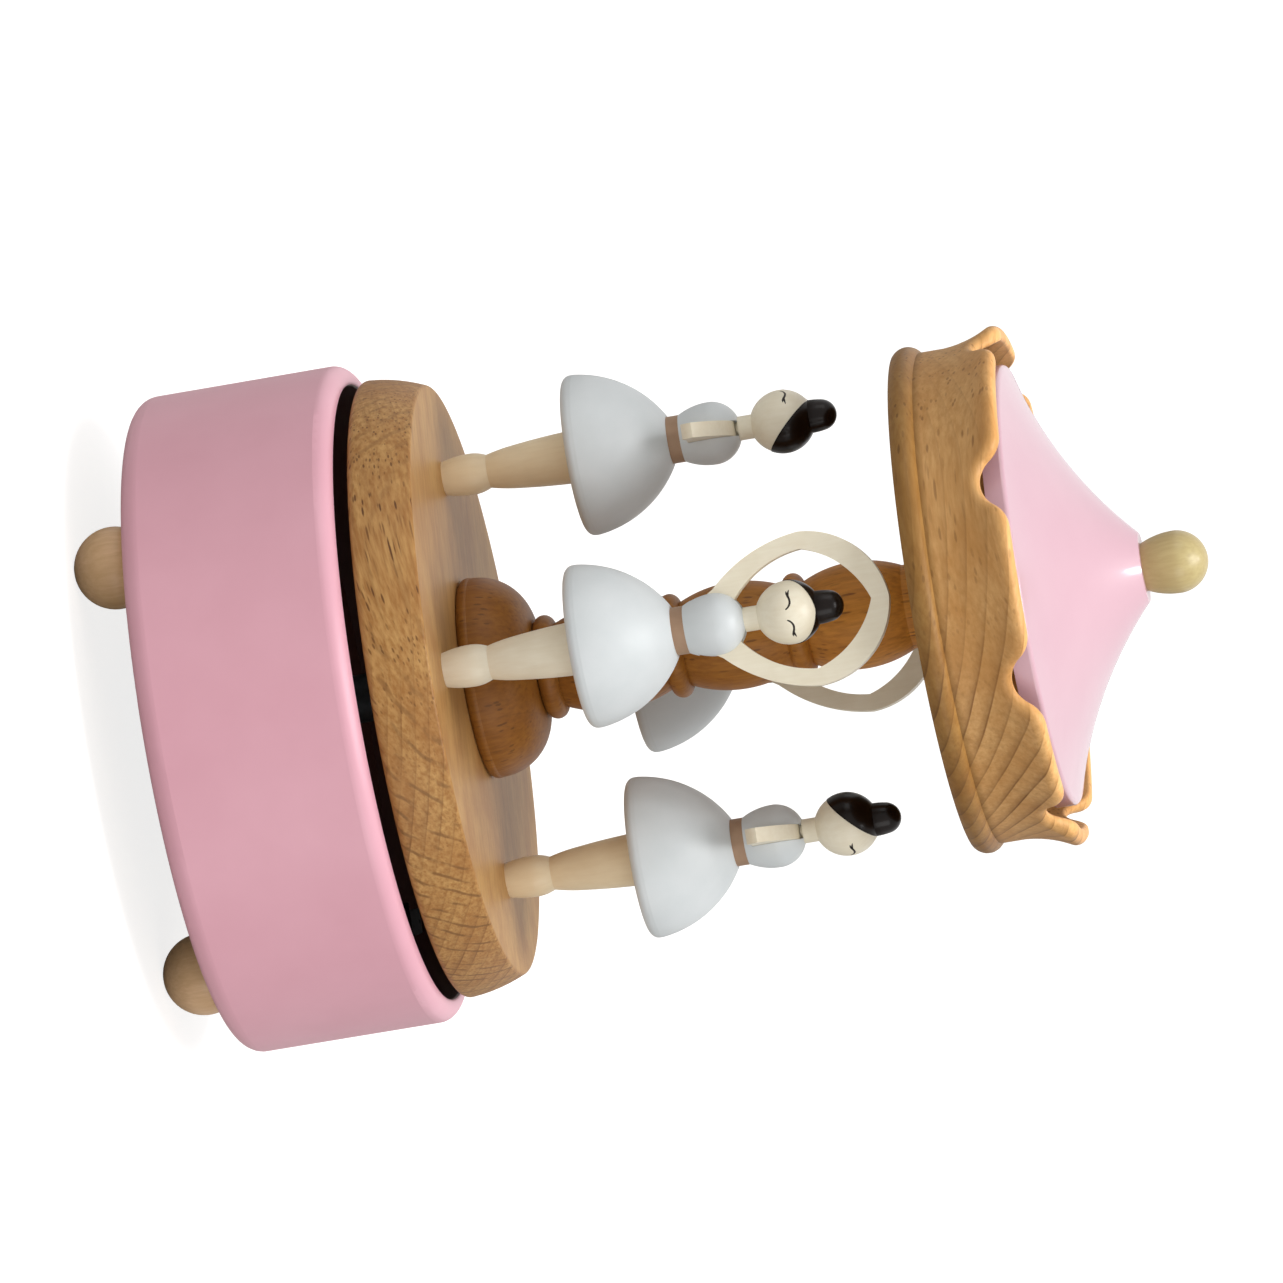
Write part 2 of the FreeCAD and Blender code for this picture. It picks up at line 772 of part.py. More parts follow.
def governor_frame():
    # two plates joined by a bridge over the worm
    z = drum_axis_height
    top = z + worm_wheel_pitch_radius + worm_pitch_radius + fly_height + frame_plate + running_gap * 2
    span = worm_y + worm_pitch_radius + running_gap
    inner = block((frame_start, -post_half_width, bed_top), (frame_end, governor_offset + post_half_width, z))
    inner = inner.fuse(cross_rod(post_half_width, frame_start, frame_end, 0, z))
    inner = inner.fuse(block((frame_start, governor_offset - post_half_width, z),
                             (frame_end, governor_offset + post_half_width, top)))
    outer = block((outer_frame_start, governor_offset - post_half_width, bed_top),
                  (outer_frame_end, governor_offset + post_half_width, top))
    bridge = block((frame_start, governor_offset - post_half_width, top - frame_plate),
                   (outer_frame_end, span, top))
    frame = inner.fuse(outer).fuse(bridge).removeSplitter()
    frame = frame.cut(cross_rod(arbor_thin_radius + arbor_fit, frame_start, frame_end, 0, z))
    frame = frame.cut(cross_rod(arbor_thin_radius + arbor_fit, frame_start, outer_frame_end,
                                governor_offset, z))
    return frame.cut(rod(worm_pivot_radius + worm_pivot_fit, top - frame_plate, top, worm_x, worm_y))


def governor_wheel():
    # the pinion that the drum gear turns, and the worm wheel, on one arbor
    z = drum_axis_height
    shaft = cross_rod(arbor_thin_radius, gear_start, outer_frame_end, governor_offset, z)
    pinion = spur_wheel(governor_pinion_teeth, governor_pinion_pitch_radius, gear_start + glue_gap,
                        gear_end, governor_offset, z, 180)
    wheel = spur_wheel(worm_wheel_teeth, worm_wheel_pitch_radius, worm_wheel_start, worm_wheel_end,
                       governor_offset, z, 0)
    return shaft.fuse([pinion, wheel]).removeSplitter()


def worm_fly():
    # the vertical worm, with the two-winged fly that brakes it in the air; its thread passes
    # the wheel's side, at three quarters of a turn, level with the wheel's arbor
    z = drum_axis_height
    lead = 2 * math.pi * worm_wheel_pitch_radius / worm_wheel_teeth
    low = z - lead * (worm_turns // 2 + 0.75)
    fly_low = z + worm_wheel_pitch_radius + worm_pitch_radius + running_gap
    fly_top = fly_low + fly_height
    helix = Part.makeHelix(lead, lead * worm_turns, worm_thread_circle)
    section = Part.Circle(Vector(worm_thread_circle, 0, 0), Vector(0, 1, 0), worm_thread_radius)
    thread = Part.Wire(helix).makePipeShell([Part.Wire(section.toShape())], True, False)
    thread.translate(Vector(worm_x, worm_y, low))
    core = rod(worm_core_radius, bed_top + running_gap, fly_top, worm_x, worm_y)
    pivots = rod(worm_pivot_radius, bed_top - bed_thickness / 2 + worm_pivot_fit,
                 fly_top + frame_plate, worm_x, worm_y)
    fly = block((worm_x - fly_radius, worm_y - fly_thickness / 2, fly_low),
                (worm_x + fly_radius, worm_y + fly_thickness / 2, fly_top))
    return core.fuse([pivots, fly, thread]).removeSplitter()


def stage_disc():
    low, high = stage_bottom, stage_top
    disc = turned((0, low), [(stage_bottom_radius, low), (stage_top_radius, high, stage_swell), (0, high)])
    disc = soften(disc, stage_bottom_radius, low, stage_bottom_round)
    disc = soften(disc, stage_top_radius, high, stage_top_round)
    disc = disc.cut(rod(tenon_radius + glue_gap, high - lower_tenon_length - glue_gap, high))
    for angle in dancer_angles.values():
        x, y = around(dancer_circle, angle + dancer_phase)
        depth = high - dancer_peg_length - glue_gap
        disc = disc.cut(rod(dancer_peg_radius + glue_gap, depth, high, x, y))
    for x, y in flange_screw_places():
        top = flange_bottom + flange_screw_length + glue_gap
        disc = disc.cut(rod(flange_screw_radius + glue_gap, low, top, x, y))
    return disc


def flange_screw_places():
    return [around(flange_screw_circle, 360.0 * index / flange_screw_count)
            for index in range(flange_screw_count)]


def drive_flange():
    plate = rod(flange_radius, flange_bottom, stage_bottom)
    hub = rod(flange_hub_radius, cover_top + flange_hub_gap, flange_bottom)
    flange = plate.fuse(hub).removeSplitter()
    flange = flange.cut(rod(stud_radius + glue_gap, cover_top, stud_top + glue_gap))
    for x, y in flange_screw_places():
        flange = flange.cut(rod(flange_screw_radius + glue_gap, flange_bottom, stage_bottom, x, y))
    return flange


def flange_screws():
    return compound([screw(flange_screw_radius, flange_screw_length, flange_screw_head_radius,
                           flange_screw_head_height, x, y, flange_bottom, 1)
                     for x, y in flange_screw_places()])


def column():
    base = stage_top
    steps = [(tenon_radius, base - lower_tenon_length), (tenon_radius, base),
             (column_foot_radius - column_foot_edge / 2, base),
             (column_foot_radius, base + column_foot_edge, column_foot_edge / 4),
             (column_foot_top_radius, base + column_foot_height, column_foot_swell)]
    steps.append((column_neck_radius, base + column_foot_height))
    tops = [column_foot_height] + list(column_ring_heights) + [column_height - column_top_collar]
    for ring, vase_top in zip(tops, tops[1:]):
        ring_top = base + ring + column_ring_thickness
        steps.append((column_neck_radius, ring_top, column_ring_out))
        steps.append((column_neck_radius, base + vase_top, column_vase_swell))
    steps.append((column_neck_radius, crown_bottom))
    steps.append((tenon_radius, crown_bottom))
    steps.append((tenon_radius, crown_bottom + upper_tenon_length))
    steps.append((0, crown_bottom + upper_tenon_length))
    return turned((0, base - lower_tenon_length), steps)


def scallop(angle):
    # a cutter that takes one dip out of the crown's top edge
    top = crown_height + cutter_margin
    bottom = crown_height - dip_depth
    middle = crown_height - dip_depth / 2
    radius = (dip_half_width ** 2 + dip_depth ** 2) / (4 * dip_depth)
    quarter = math.hypot(dip_half_width, dip_depth) / 4
    rise = radius - math.sqrt(radius ** 2 - quarter ** 2)
    half = dip_half_width
    wire = outline((-half, crown_height), [
        (-half / 2, middle, -rise), (0, bottom, rise), (half / 2, middle, rise),
        (half, crown_height, -rise), (half, top), (-half, top)])
    cutter = Part.Face(wire).extrude(Vector(0, -crown_top_radius * 2, 0))
    cutter.rotate(origin, up, angle)
    cutter.translate(Vector(0, 0, crown_bottom))
    return cutter


def crown_rim(ring, inside):
    # the wavy edges that run round the crown's top, on its inner or its outer face
    lowest = crown_bottom + crown_height - dip_depth - edge_reach
    border = crown_top_radius - crown_wall_top + edge_reach
    edges = []
    for edge in ring.Edges:
        radii = [math.hypot(point.X, point.Y) for point in edge.Vertexes]
        along = max(radii) - min(radii) < crown_wall_top / 3
        same_side = max(radii) < border if inside else min(radii) > border
        if edge.BoundBox.ZMin > lowest and along and same_side:
            edges.append(edge)
    return edges


def crown_ring():
    low = crown_bottom
    high = crown_bottom + crown_height
    ring = turned((0, low), [
        (crown_waist_radius + crown_bead_out - crown_foot_in, low),
        (crown_waist_radius, low + crown_bead_height, crown_bead_swell),
        (crown_waist_radius, low + crown_waist_height),
        (crown_top_radius, high, -crown_flare_hollow),
        (crown_top_radius - crown_wall_top, high), (crown_inner_radius, low + crown_floor),
        (0, low + crown_floor)])
    ring = ring.cut([scallop(angle) for angle in dip_angles])
    ring = ring.makeFillet(crown_edge_round, crown_rim(ring, False))
    ring = ring.makeFillet(crown_inner_edge_round, crown_rim(ring, True))
    return ring.cut(rod(tenon_radius + glue_gap, low, low + crown_floor))


def roof_cone():
    low = crown_bottom + roof_eave_bottom
    eave_top = low + roof_eave_height
    top = low + roof_height
    floor = crown_bottom + crown_floor
    cone = turned((0, floor), [
        (roof_boss_radius, floor), (roof_boss_radius, low), (roof_eave_radius, low),
        (roof_eave_radius, eave_top), (roof_top_radius, top, -roof_hollow), (0, top)])
    cone = soften(cone, roof_eave_radius, eave_top, roof_eave_round)
    tenon_top = crown_bottom + upper_tenon_length + glue_gap
    peg_low = top - finial_peg_length - glue_gap
    cone = cone.cut(rod(tenon_radius + glue_gap, floor, tenon_top))
    return cone.cut(rod(finial_peg_radius + glue_gap, peg_low, top))


def finial():
    top = crown_bottom + roof_eave_bottom + roof_height
    return turned((0, top - finial_peg_length), [
        (finial_peg_radius, top - finial_peg_length), (finial_peg_radius, top),
        (finial_foot_radius, top), (finial_radius, top + finial_widest, finial_foot_swell),
        (0, top + finial_height, dome_rise(finial_radius, finial_height - finial_widest))])


def dancer_legs():
    low = -dancer_peg_length
    hip = leg_height
    top = belt_top + torso_dowel_depth
    return turned((0, low), [
        (dancer_peg_radius, low), (dancer_peg_radius, 0), (sole_radius, 0),
        (shoe_radius, shoe_height, dome_rise(shoe_height, shoe_radius - sole_radius)),
        (ankle_radius, ankle_height, dome_rise(ankle_height - shoe_height, shoe_radius - ankle_radius)),
        (knee_radius, knee_height, calf_swell), (thigh_radius, hip, thigh_swell),
        (waist_dowel_radius, hip), (waist_dowel_radius, top), (0, top)])


def dancer_skirt():
    low = leg_height
    high = low + skirt_height
    bore = waist_dowel_radius + glue_gap
    skirt = turned((bore, low), [
        (skirt_radius, low), (skirt_radius, low + skirt_edge_round + skirt_edge_band),
        (skirt_top_radius, high, skirt_swell), (bore, high)])
    return soften(skirt, skirt_radius, low, skirt_edge_round)


def dancer_belt():
    low = leg_height + skirt_height
    bore = waist_dowel_radius + glue_gap
    return rod(belt_radius, low, belt_top).cut(rod(bore, low, belt_top))


def dancer_torso():
    low = belt_top
    high = low + torso_height
    torso = turned((0, low), [
        (torso_bottom_radius, low),
        (torso_radius, low + torso_widest, dome_rise(torso_widest, torso_radius - torso_bottom_radius)),
        (neck_radius, high, dome_rise(torso_height - torso_widest, torso_radius - neck_radius)), (0, high)])
    dowel = rod(waist_dowel_radius + glue_gap, low, low + torso_dowel_depth + glue_gap)
    half = lath / 2 + lath_fit
    reach = torso_radius + cutter_margin
    slot = block((-reach, -half, low + arm_root - lath_fit), (reach, half, high))
    return torso.cut(dowel).cut(slot)


def head_profile(proud):
    # half of the head's section from the neck up to the top of the bun
    low = belt_top + torso_height
    chin = dome_rise(head_widest - neck_height, head_radius + proud - neck_radius)
    crown = dome_rise(head_top_height - head_widest, head_radius - head_top_radius)
    return [(neck_radius, low + neck_height), (head_radius + proud, low + head_widest, chin),
            (head_top_radius + proud, low + head_top_height, crown),
            (bun_radius + proud, low + bun_side_height, bun_side_swell),
            (0, low + bun_top_height, dome_rise(bun_radius + proud, bun_top_height - bun_side_height))]


def behind_hairline():
    # the space above and behind the hairline, which slants down both ways from a point over the face
    low = belt_top + torso_height + hairline_height
    size = head_radius * 8
    sides = []
    for turn in (-hairline_turn, hairline_turn):
        side = block((-size / 2, -size / 2, 0), (size / 2, size / 2, size))
        side.rotate(origin, Vector(1, 0, 0), -hairline_slope)
        side.rotate(origin, up, turn)
        sides.append(side)
    room = sides[0].fuse(sides[1])
    room.translate(Vector(0, 0, low))
    return room


def dancer_head():
    low = belt_top + torso_height
    peg = low - neck_peg_length
    whole = turned((0, peg), [(neck_peg_radius, peg), (neck_peg_radius, low), (neck_radius, low)]
                   + head_profile(0))
    return whole.cut(behind_hairline())


def dancer_hair():
    low = belt_top + torso_height
    whole = turned((0, low), [(neck_radius, low)] + head_profile(hair_proud))
    return whole.common(behind_hairline())


def raised_arms():
    # both arms as one flat hoop, closed over the head and joined inside the torso
    outer_shape = outline((0, arm_root), [
        (hoop_bottom_half, arm_root), (hoop_shoulder_half, hoop_shoulder_height),
        (hoop_half_width, hoop_wide_height, hoop_lower_swell), (0, hoop_top, hoop_upper_swell),
        (-hoop_half_width, hoop_wide_height, hoop_upper_swell),
        (-hoop_shoulder_half, hoop_shoulder_height, hoop_lower_swell), (-hoop_bottom_half, arm_root)])
    inner_half = hoop_half_width - hoop_band
    inner_shape = outline((0, hoop_bridge_height), [
        (hoop_arm_inner_half, hoop_arm_inner_height),
        (inner_half, hoop_wide_height, hoop_lower_swell), (0, hoop_inner_top, hoop_inner_swell),
        (-inner_half, hoop_wide_height, hoop_inner_swell),
        (-hoop_arm_inner_half, hoop_arm_inner_height, hoop_lower_swell)])
    plate = Part.Face(outer_shape).cut(Part.Face(inner_shape))
    hoop = plate.extrude(Vector(0, lath, 0))
    hoop.translate(Vector(0, -lath / 2, belt_top))
    return hoop


def spread_arms():
    # both arms as one flat bow, held out to the sides and sloping down
    tip, low = spread_tip_height, spread_tip_height - spread_tip_drop
    half, inner_half = spread_half_span, spread_half_span - spread_tip_band / 2
    bow = outline((-half, tip), [
        (-inner_half, low, spread_tip_swell), (-torso_radius, arm_root, -spread_under_hollow),
        (torso_radius, arm_root), (inner_half, low, -spread_under_hollow),
        (half, tip, spread_tip_swell), (0, spread_crest, spread_swell), (-half, tip, spread_swell)])
    plate = Part.Face(bow).extrude(Vector(0, lath, 0))
    plate.translate(Vector(0, -lath / 2, belt_top))
    return plate


def place_dancer(shape, angle):
    x, y = around(dancer_circle, angle + dancer_phase)
    placed = shape.copy()
    placed.rotate(origin, up, angle + dancer_phase)
    placed.translate(Vector(x, y, stage_top))
    return placed


def dancers():
    pieces = {"legs": dancer_legs(), "skirt": dancer_skirt(), "belt": dancer_belt(),
              "torso": dancer_torso()}
    hoop, bow, head, hair = raised_arms(), spread_arms(), dancer_head(), dancer_hair()
    for name, angle in dancer_angles.items():
        for piece, shape in pieces.items():
            save("dancer_" + name + "_" + piece, place_dancer(shape, angle))
        arms = hoop if name in hoop_places else bow
        save("dancer_" + name + "_arms", place_dancer(arms, angle))
        for piece, shape in (("head", head), ("hair", hair)):
            facing = shape.copy()
            facing.rotate(origin, up, head_turns[name])
            save("dancer_" + name + "_" + piece, place_dancer(facing, angle))


save("ball_feet", ball_feet())
save("base_shell", base_shell())
save("base_board", base_board())
save("board_screws", board_screws())
save("movement_screws", movement_screws())
save("bedplate", bedplate())
save("music_comb", music_comb())
save("comb_screws", comb_screws())
save("spring_barrel", spring_barrel())
save("barrel_cover", barrel_cover())
save("mainspring", mainspring())
save("winding_arbor", winding_arbor())
save("winding_key", winding_key())
save("click_spring", click_spring())
save("cylinder_arbor", cylinder_arbor())
save("tune_cylinder", tune_cylinder())
save("drum_gear", drum_gear())
save("governor_frame", governor_frame())
save("governor_wheel", governor_wheel())
save("worm_fly", worm_fly())
save("drive_flange", drive_flange())
save("flange_screws", flange_screws())
save("stage_disc", stage_disc())
save("column", column())
save("crown_ring", crown_ring())
save("roof_cone", roof_cone())
save("finial", finial())
dancers()
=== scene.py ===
# Looks for a wind-up ballerina music box. Metres, +Z up, the front is -Y.
import json
import math
import bpy
from mathutils import Matrix, Vector
from mathutils.bvhtree import BVHTree


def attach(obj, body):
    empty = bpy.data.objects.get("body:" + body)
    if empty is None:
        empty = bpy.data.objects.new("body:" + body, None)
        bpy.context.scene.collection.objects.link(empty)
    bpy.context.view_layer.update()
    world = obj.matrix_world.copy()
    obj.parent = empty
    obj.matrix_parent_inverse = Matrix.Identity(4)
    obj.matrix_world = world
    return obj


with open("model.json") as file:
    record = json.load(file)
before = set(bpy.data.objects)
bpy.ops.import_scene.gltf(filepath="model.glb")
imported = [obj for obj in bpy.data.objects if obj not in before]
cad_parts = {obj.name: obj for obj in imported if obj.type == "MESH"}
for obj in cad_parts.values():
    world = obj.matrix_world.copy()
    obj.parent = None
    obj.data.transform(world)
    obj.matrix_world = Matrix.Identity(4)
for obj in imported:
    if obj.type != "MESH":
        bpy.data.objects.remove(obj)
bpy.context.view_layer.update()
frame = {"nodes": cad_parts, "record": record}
parts = frame["nodes"]
mm = 0.001
waveStep = math.tau / 20  # a wave texture at scale 1 repeats after this many units
print("model loaded with", len(parts), "pieces")


def toLinear(hexText):
    # sRGB hex, such as #d29eaa, to the linear colour that the shaders take
    channels = [int(hexText[i:i + 2], 16) / 255 for i in (1, 3, 5)]
    return tuple(c / 12.92 if c <= 0.04045 else ((c + 0.055) / 1.055) ** 2.4 for c in channels) + (1.0,)


def addNode(tree, kind, settings={}, links={}):
    # A setting is an input's name or number, or else a property of the node. Hex text is a colour,
    # and stops are the (position, grey or hex) pairs of a colour ramp.
    node = tree.nodes.new(kind)
    for name, value in settings.items():
        if name == "stops":
            marks = node.color_ramp.elements
            while len(marks) < len(value):
                marks.new(0.5)
            for mark, (position, tone) in zip(marks, value):
                mark.position = position
                mark.color = toLinear(tone) if isinstance(tone, str) else (tone, tone, tone, 1.0)
        elif isinstance(name, int) or name in node.inputs:
            node.inputs[name].default_value = toLinear(value) if isinstance(value, str) else value
        else:
            setattr(node, name, value)
    for name, socket in links.items():
        tree.links.new(socket, node.inputs[name])
    return node


def startMaterial(name, surface):
    # an empty material whose Principled shader carries the plain numbers
    material = bpy.data.materials.new(name)
    material.use_nodes = True
    tree = material.node_tree
    tree.nodes.clear()
    shader = addNode(tree, "ShaderNodeBsdfPrincipled", surface)
    addNode(tree, "ShaderNodeOutputMaterial", {}, {"Surface": shader.outputs["BSDF"]})
    place = addNode(tree, "ShaderNodeTexCoord").outputs["Object"]
    return material, tree, shader, place


# the two ways that colours meet here, in a Mix node: its input 0 is the factor, 6 and 7 are the
# colours, and its output 2 is the mixed colour
laidOver = {"data_type": "RGBA"}
multiplied = {"data_type": "RGBA", "blend_type": "MULTIPLY", 0: 1.0}


def woodFigure(tree, place, stretch, size, stops, detail=3.0):
    # soft patches of this many millimetres, drawn out by these factors along the axes
    squeezed = addNode(tree, "ShaderNodeMapping", {"Scale": [1 / factor for factor in stretch]},
                       {"Vector": place})
    noise = addNode(tree, "ShaderNodeTexNoise",
                    {"Scale": 1 / (size * mm), "Detail": detail, "Roughness": 0.6},
                    {"Vector": squeezed.outputs["Vector"]})
    figure = addNode(tree, "ShaderNodeValToRGB", {"stops": stops}, {"Fac": noise.outputs["Fac"]})
    return figure.outputs["Color"]


# Beech, turned and sanded, under a thin satin lacquer: warm tan, with growth layers that show as
# darker lines where the surface cuts across them, fine rays over these, and short dark pores
def makeBeech(name, look):
    surface = {"Roughness": look["roughness"], "IOR": 1.5, "Coat Weight": look["coat"],
               "Coat Roughness": look["coatRoughness"], "Specular IOR Level": look["specular"]}
    material, tree, shader, place = startMaterial(name, surface)
    # the fibres' own X runs along the grain; the board's Z stands on the growth layers as well
    grainUp, heading, tilt = (math.radians(look[key]) for key in ("grainUp", "grainHeading", "layerTilt"))
    lie = Matrix.Rotation(grainUp, 3, "Y") @ Matrix.Rotation(-heading, 3, "Z")
    turn = (Matrix.Rotation(tilt, 3, "X") @ lie).to_euler()
    board = addNode(tree, "ShaderNodeMapping", {"Rotation": turn}, {"Vector": place}).outputs["Vector"]
    straight = addNode(tree, "ShaderNodeMapping", {"Rotation": lie.to_euler()}, {"Vector": place})
    normal = addNode(tree, "ShaderNodeTexCoord").outputs["Normal"]
    facing = addNode(tree, "ShaderNodeMapping", {"Rotation": turn}, {"Vector": normal})
    # the fibres arch a little, so that they rise one way on the right and the other way on the left
    runs = addNode(tree, "ShaderNodeSeparateXYZ", {}, {"Vector": straight.outputs["Vector"]}).outputs
    reach = addNode(tree, "ShaderNodeMath", {"operation": "SUBTRACT", 1: look["archPlace"] * mm},
                    {0: runs["X"]}).outputs[0]
    bow = addNode(tree, "ShaderNodeMath", {"operation": "POWER", 1: 2.0}, {0: reach}).outputs[0]
    arch = addNode(tree, "ShaderNodeMath", {"operation": "MULTIPLY_ADD", 1: -look["arch"] / mm},
                   {0: bow, 2: runs["Z"]}).outputs[0]
    fibre = addNode(tree, "ShaderNodeCombineXYZ", {},
                    {"X": runs["X"], "Y": runs["Y"], "Z": arch}).outputs["Vector"]
    # how much of the board's ends a place shows, and how flat it lies
    across = addNode(tree, "ShaderNodeSeparateXYZ", {}, {"Vector": facing.outputs["Vector"]}).outputs["X"]
    half = addNode(tree, "ShaderNodeMapRange", {"From Min": -1.0, "From Max": 1.0}, {"Value": across})
    endGrain = addNode(tree, "ShaderNodeValToRGB", {"stops": look["endGrain"]},
                       {"Fac": half.outputs["Result"]}).outputs["Color"]
    upward = addNode(tree, "ShaderNodeSeparateXYZ", {}, {"Vector": normal}).outputs["Z"]
    lying = addNode(tree, "ShaderNodeValToRGB", {"stops": look["onTop"]}, {"Fac": upward}).outputs["Color"]
    # growth layers: thin dark lines on gently bent planes, stronger here and weaker there
    pith = [0] + [distance * mm for distance in look["pith"]]
    layers = addNode(tree, "ShaderNodeMapping", {"Location": pith}, {"Vector": board})
    rings = addNode(tree, "ShaderNodeTexWave",
                    {"wave_type": "RINGS", "rings_direction": "X", "wave_profile": "SAW",
                     "Scale": waveStep / (look["layerSpacing"] * mm), "Distortion": look["layerWander"],
                     "Detail": 3.0, "Detail Scale": 0.25, "Detail Roughness": 0.45},
                    {"Vector": layers.outputs["Vector"]})
    lines = addNode(tree, "ShaderNodeValToRGB", {"stops": look["layerLine"]},
                    {"Fac": rings.outputs["Fac"]}).outputs["Color"]
    patchTone = woodFigure(tree, board, (1, 1, 1), look["patchSize"], look["patches"])
    layerTone = woodFigure(tree, board, look["layerStretch"], look["layerSpacing"] * look["layerPatch"],
                           look["layerShares"])
    for share in (endGrain, patchTone, layerTone):
        lines = addNode(tree, "ShaderNodeMix", multiplied, {6: lines, 7: share}).outputs[2]
    # rays: fine broken lines that cross the layers on the ends of the board
    rayPlanes = addNode(tree, "ShaderNodeTexWave",
                        {"wave_type": "BANDS", "bands_direction": "Y", "wave_profile": "SIN",
                         "Scale": waveStep / (look["raySpacing"] * mm), "Distortion": look["rayWander"],
                         "Detail": 2.0, "Detail Scale": 0.5}, {"Vector": board})
    rays = addNode(tree, "ShaderNodeValToRGB", {"stops": look["rayLine"]},
                   {"Fac": rayPlanes.outputs["Fac"]}).outputs["Color"]
    breaks = woodFigure(tree, board, look["rayStretch"], look["rayLength"], look["rayBreaks"])
    for share in (endGrain, breaks):
        rays = addNode(tree, "ShaderNodeMix", multiplied, {6: rays, 7: share}).outputs[2]
    # pores: one short dash in each stretched cell, some of them faint
    cellSize = (look["poreLength"], look["poreWidth"], look["poreWidth"])
    dashes = addNode(tree, "ShaderNodeMapping", {"Scale": [1 / (size * mm) for size in cellSize]},
                     {"Vector": fibre}).outputs["Vector"]
    wobble = addNode(tree, "ShaderNodeTexNoise", {"Scale": 1.4, "Detail": 1.0}, {"Vector": dashes})
    bent = addNode(tree, "ShaderNodeMix", {"data_type": "VECTOR", 0: look["poreBend"]},
                   {4: dashes, 5: wobble.outputs["Color"]})
    cells = addNode(tree, "ShaderNodeTexVoronoi", {"Scale": look["poreCount"]}, {"Vector": bent.outputs[1]})
    kind = addNode(tree, "ShaderNodeSeparateColor", {}, {"Color": cells.outputs["Color"]}).outputs[0]
    dots, strengths, onEnds = (
        addNode(tree, "ShaderNodeValToRGB", {"stops": look[key]}, {"Fac": source}).outputs["Color"]
        for key, source in (("poreDot", cells.outputs["Distance"]), ("poreKinds", kind),
                            ("poreOnEnds", endGrain)))
    pores = dots
    for share in (strengths, lying, onEnds):
        pores = addNode(tree, "ShaderNodeMix", multiplied, {6: pores, 7: share}).outputs[2]
    # fibres: fine streaks that vary the tone along the grain, and broad soft clouds
    streaks = woodFigure(tree, fibre, look["fibreStretch"], look["fibreSize"], look["fibreStops"], 4.0)
    fibreTone = addNode(tree, "ShaderNodeMix", multiplied, {6: streaks, 7: lying}).outputs[2]
    cloudTone = woodFigure(tree, fibre, look["cloudStretch"], look["cloudSize"], look["cloudStops"], 4.0)
    tone = addNode(tree, "ShaderNodeMix", {**laidOver, 6: look["light"], 7: look["middle"]},
                   {0: cloudTone}).outputs[2]
    for mask, colour, depth in ((fibreTone, "streak", "streakDepth"), (lines, "layer", "layerDepth"),
                                (rays, "ray", "rayDepth"), (pores, "pore", "poreDepth")):
        covered = addNode(tree, "ShaderNodeMix", {**laidOver, 7: look[colour]}, {0: mask, 6: tone}).outputs[2]
        tone = addNode(tree, "ShaderNodeMix", {**laidOver, 0: look[depth]}, {6: tone, 7: covered}).outputs[2]
    # painted shade and light: darker or lighter from foot to top, and upward faces paler as painted highlight
    height = addNode(tree, "ShaderNodeSeparateXYZ", {}, {"Vector": place}).outputs["Z"]
    foot, top = look["paintedShadeHeights"]
    climb = addNode(tree, "ShaderNodeMapRange", {"From Min": foot * mm, "From Max": top * mm},
                    {"Value": height})
    for key, source in (("paintedShadeByHeight", climb.outputs["Result"]), ("paintedTopHighlight", upward)):
        share = addNode(tree, "ShaderNodeValToRGB", {"stops": look[key]}, {"Fac": source}).outputs["Color"]
        tone = addNode(tree, "ShaderNodeMix", multiplied, {6: tone, 7: share}).outputs[2]
    tree.links.new(tone, shader.inputs["Base Color"])
    dents = addNode(tree, "ShaderNodeMath", {"operation": "MULTIPLY", 1: -1.0}, {0: pores}).outputs[0]
    grain = addNode(tree, "ShaderNodeBump",
                    {"Strength": look["fibreBump"], "Distance": look["fibreRelief"] * mm},
                    {"Height": fibreTone})
    relief = addNode(tree, "ShaderNodeBump",
                     {"Strength": look["poreBump"], "Distance": look["poreRelief"] * mm},
                     {"Height": dents, "Normal": grain.outputs["Normal"]})
    tree.links.new(relief.outputs["Normal"], shader.inputs["Normal"])
    print("material", name)
    return material


# What all the beech shares: sizes in millimetres, angles in degrees, and ramp stops for its marks
beechLook = {"coat": 0.06, "coatRoughness": 0.3, "specular": 0.22, "roughness": 0.5,
             "layerLine": [(0.0, 0.0), (0.5, 0.1), (0.84, 0.5), (0.95, 1.0), (1.0, 0.0)],
             "patchSize": 14.0, "patches": [(0.36, 0.35), (0.6, 1.0)], "layerStretch": (30, 30, 1),
             "layerPatch": 1.3, "layerShares": [(0.38, 0.35), (0.6, 1.0)],
             "rayLine": [(0.8, 0.0), (0.97, 1.0)], "rayWander": 5.0, "rayLength": 2.4,
             "rayStretch": (3, 1, 2.5), "rayBreaks": [(0.44, 0.0), (0.58, 1.0)],
             "poreBend": 0.22, "poreDot": [(0.2, 1.0), (0.33, 0.0)], "poreKinds": [(0.3, 0.05), (0.75, 1.0)],
             "poreOnEnds": [(0.2, 1.0), (0.8, 0.25)],
             "fibreSize": 0.75, "fibreStretch": (9, 1, 1), "fibreStops": [(0.36, 0.0), (0.66, 1.0)],
             "cloudSize": 9.0, "cloudStretch": (2, 1, 1), "cloudStops": [(0.36, 0.0), (0.64, 1.0)],
             "paintedShadeByHeight": [(0.0, 1.0), (1.0, 1.0)], "paintedTopHighlight": [(0.0, 1.0), (1.0, 1.0)],
             "fibreBump": 0.1, "fibreRelief": 0.04, "poreBump": 0.3, "poreRelief": 0.06}
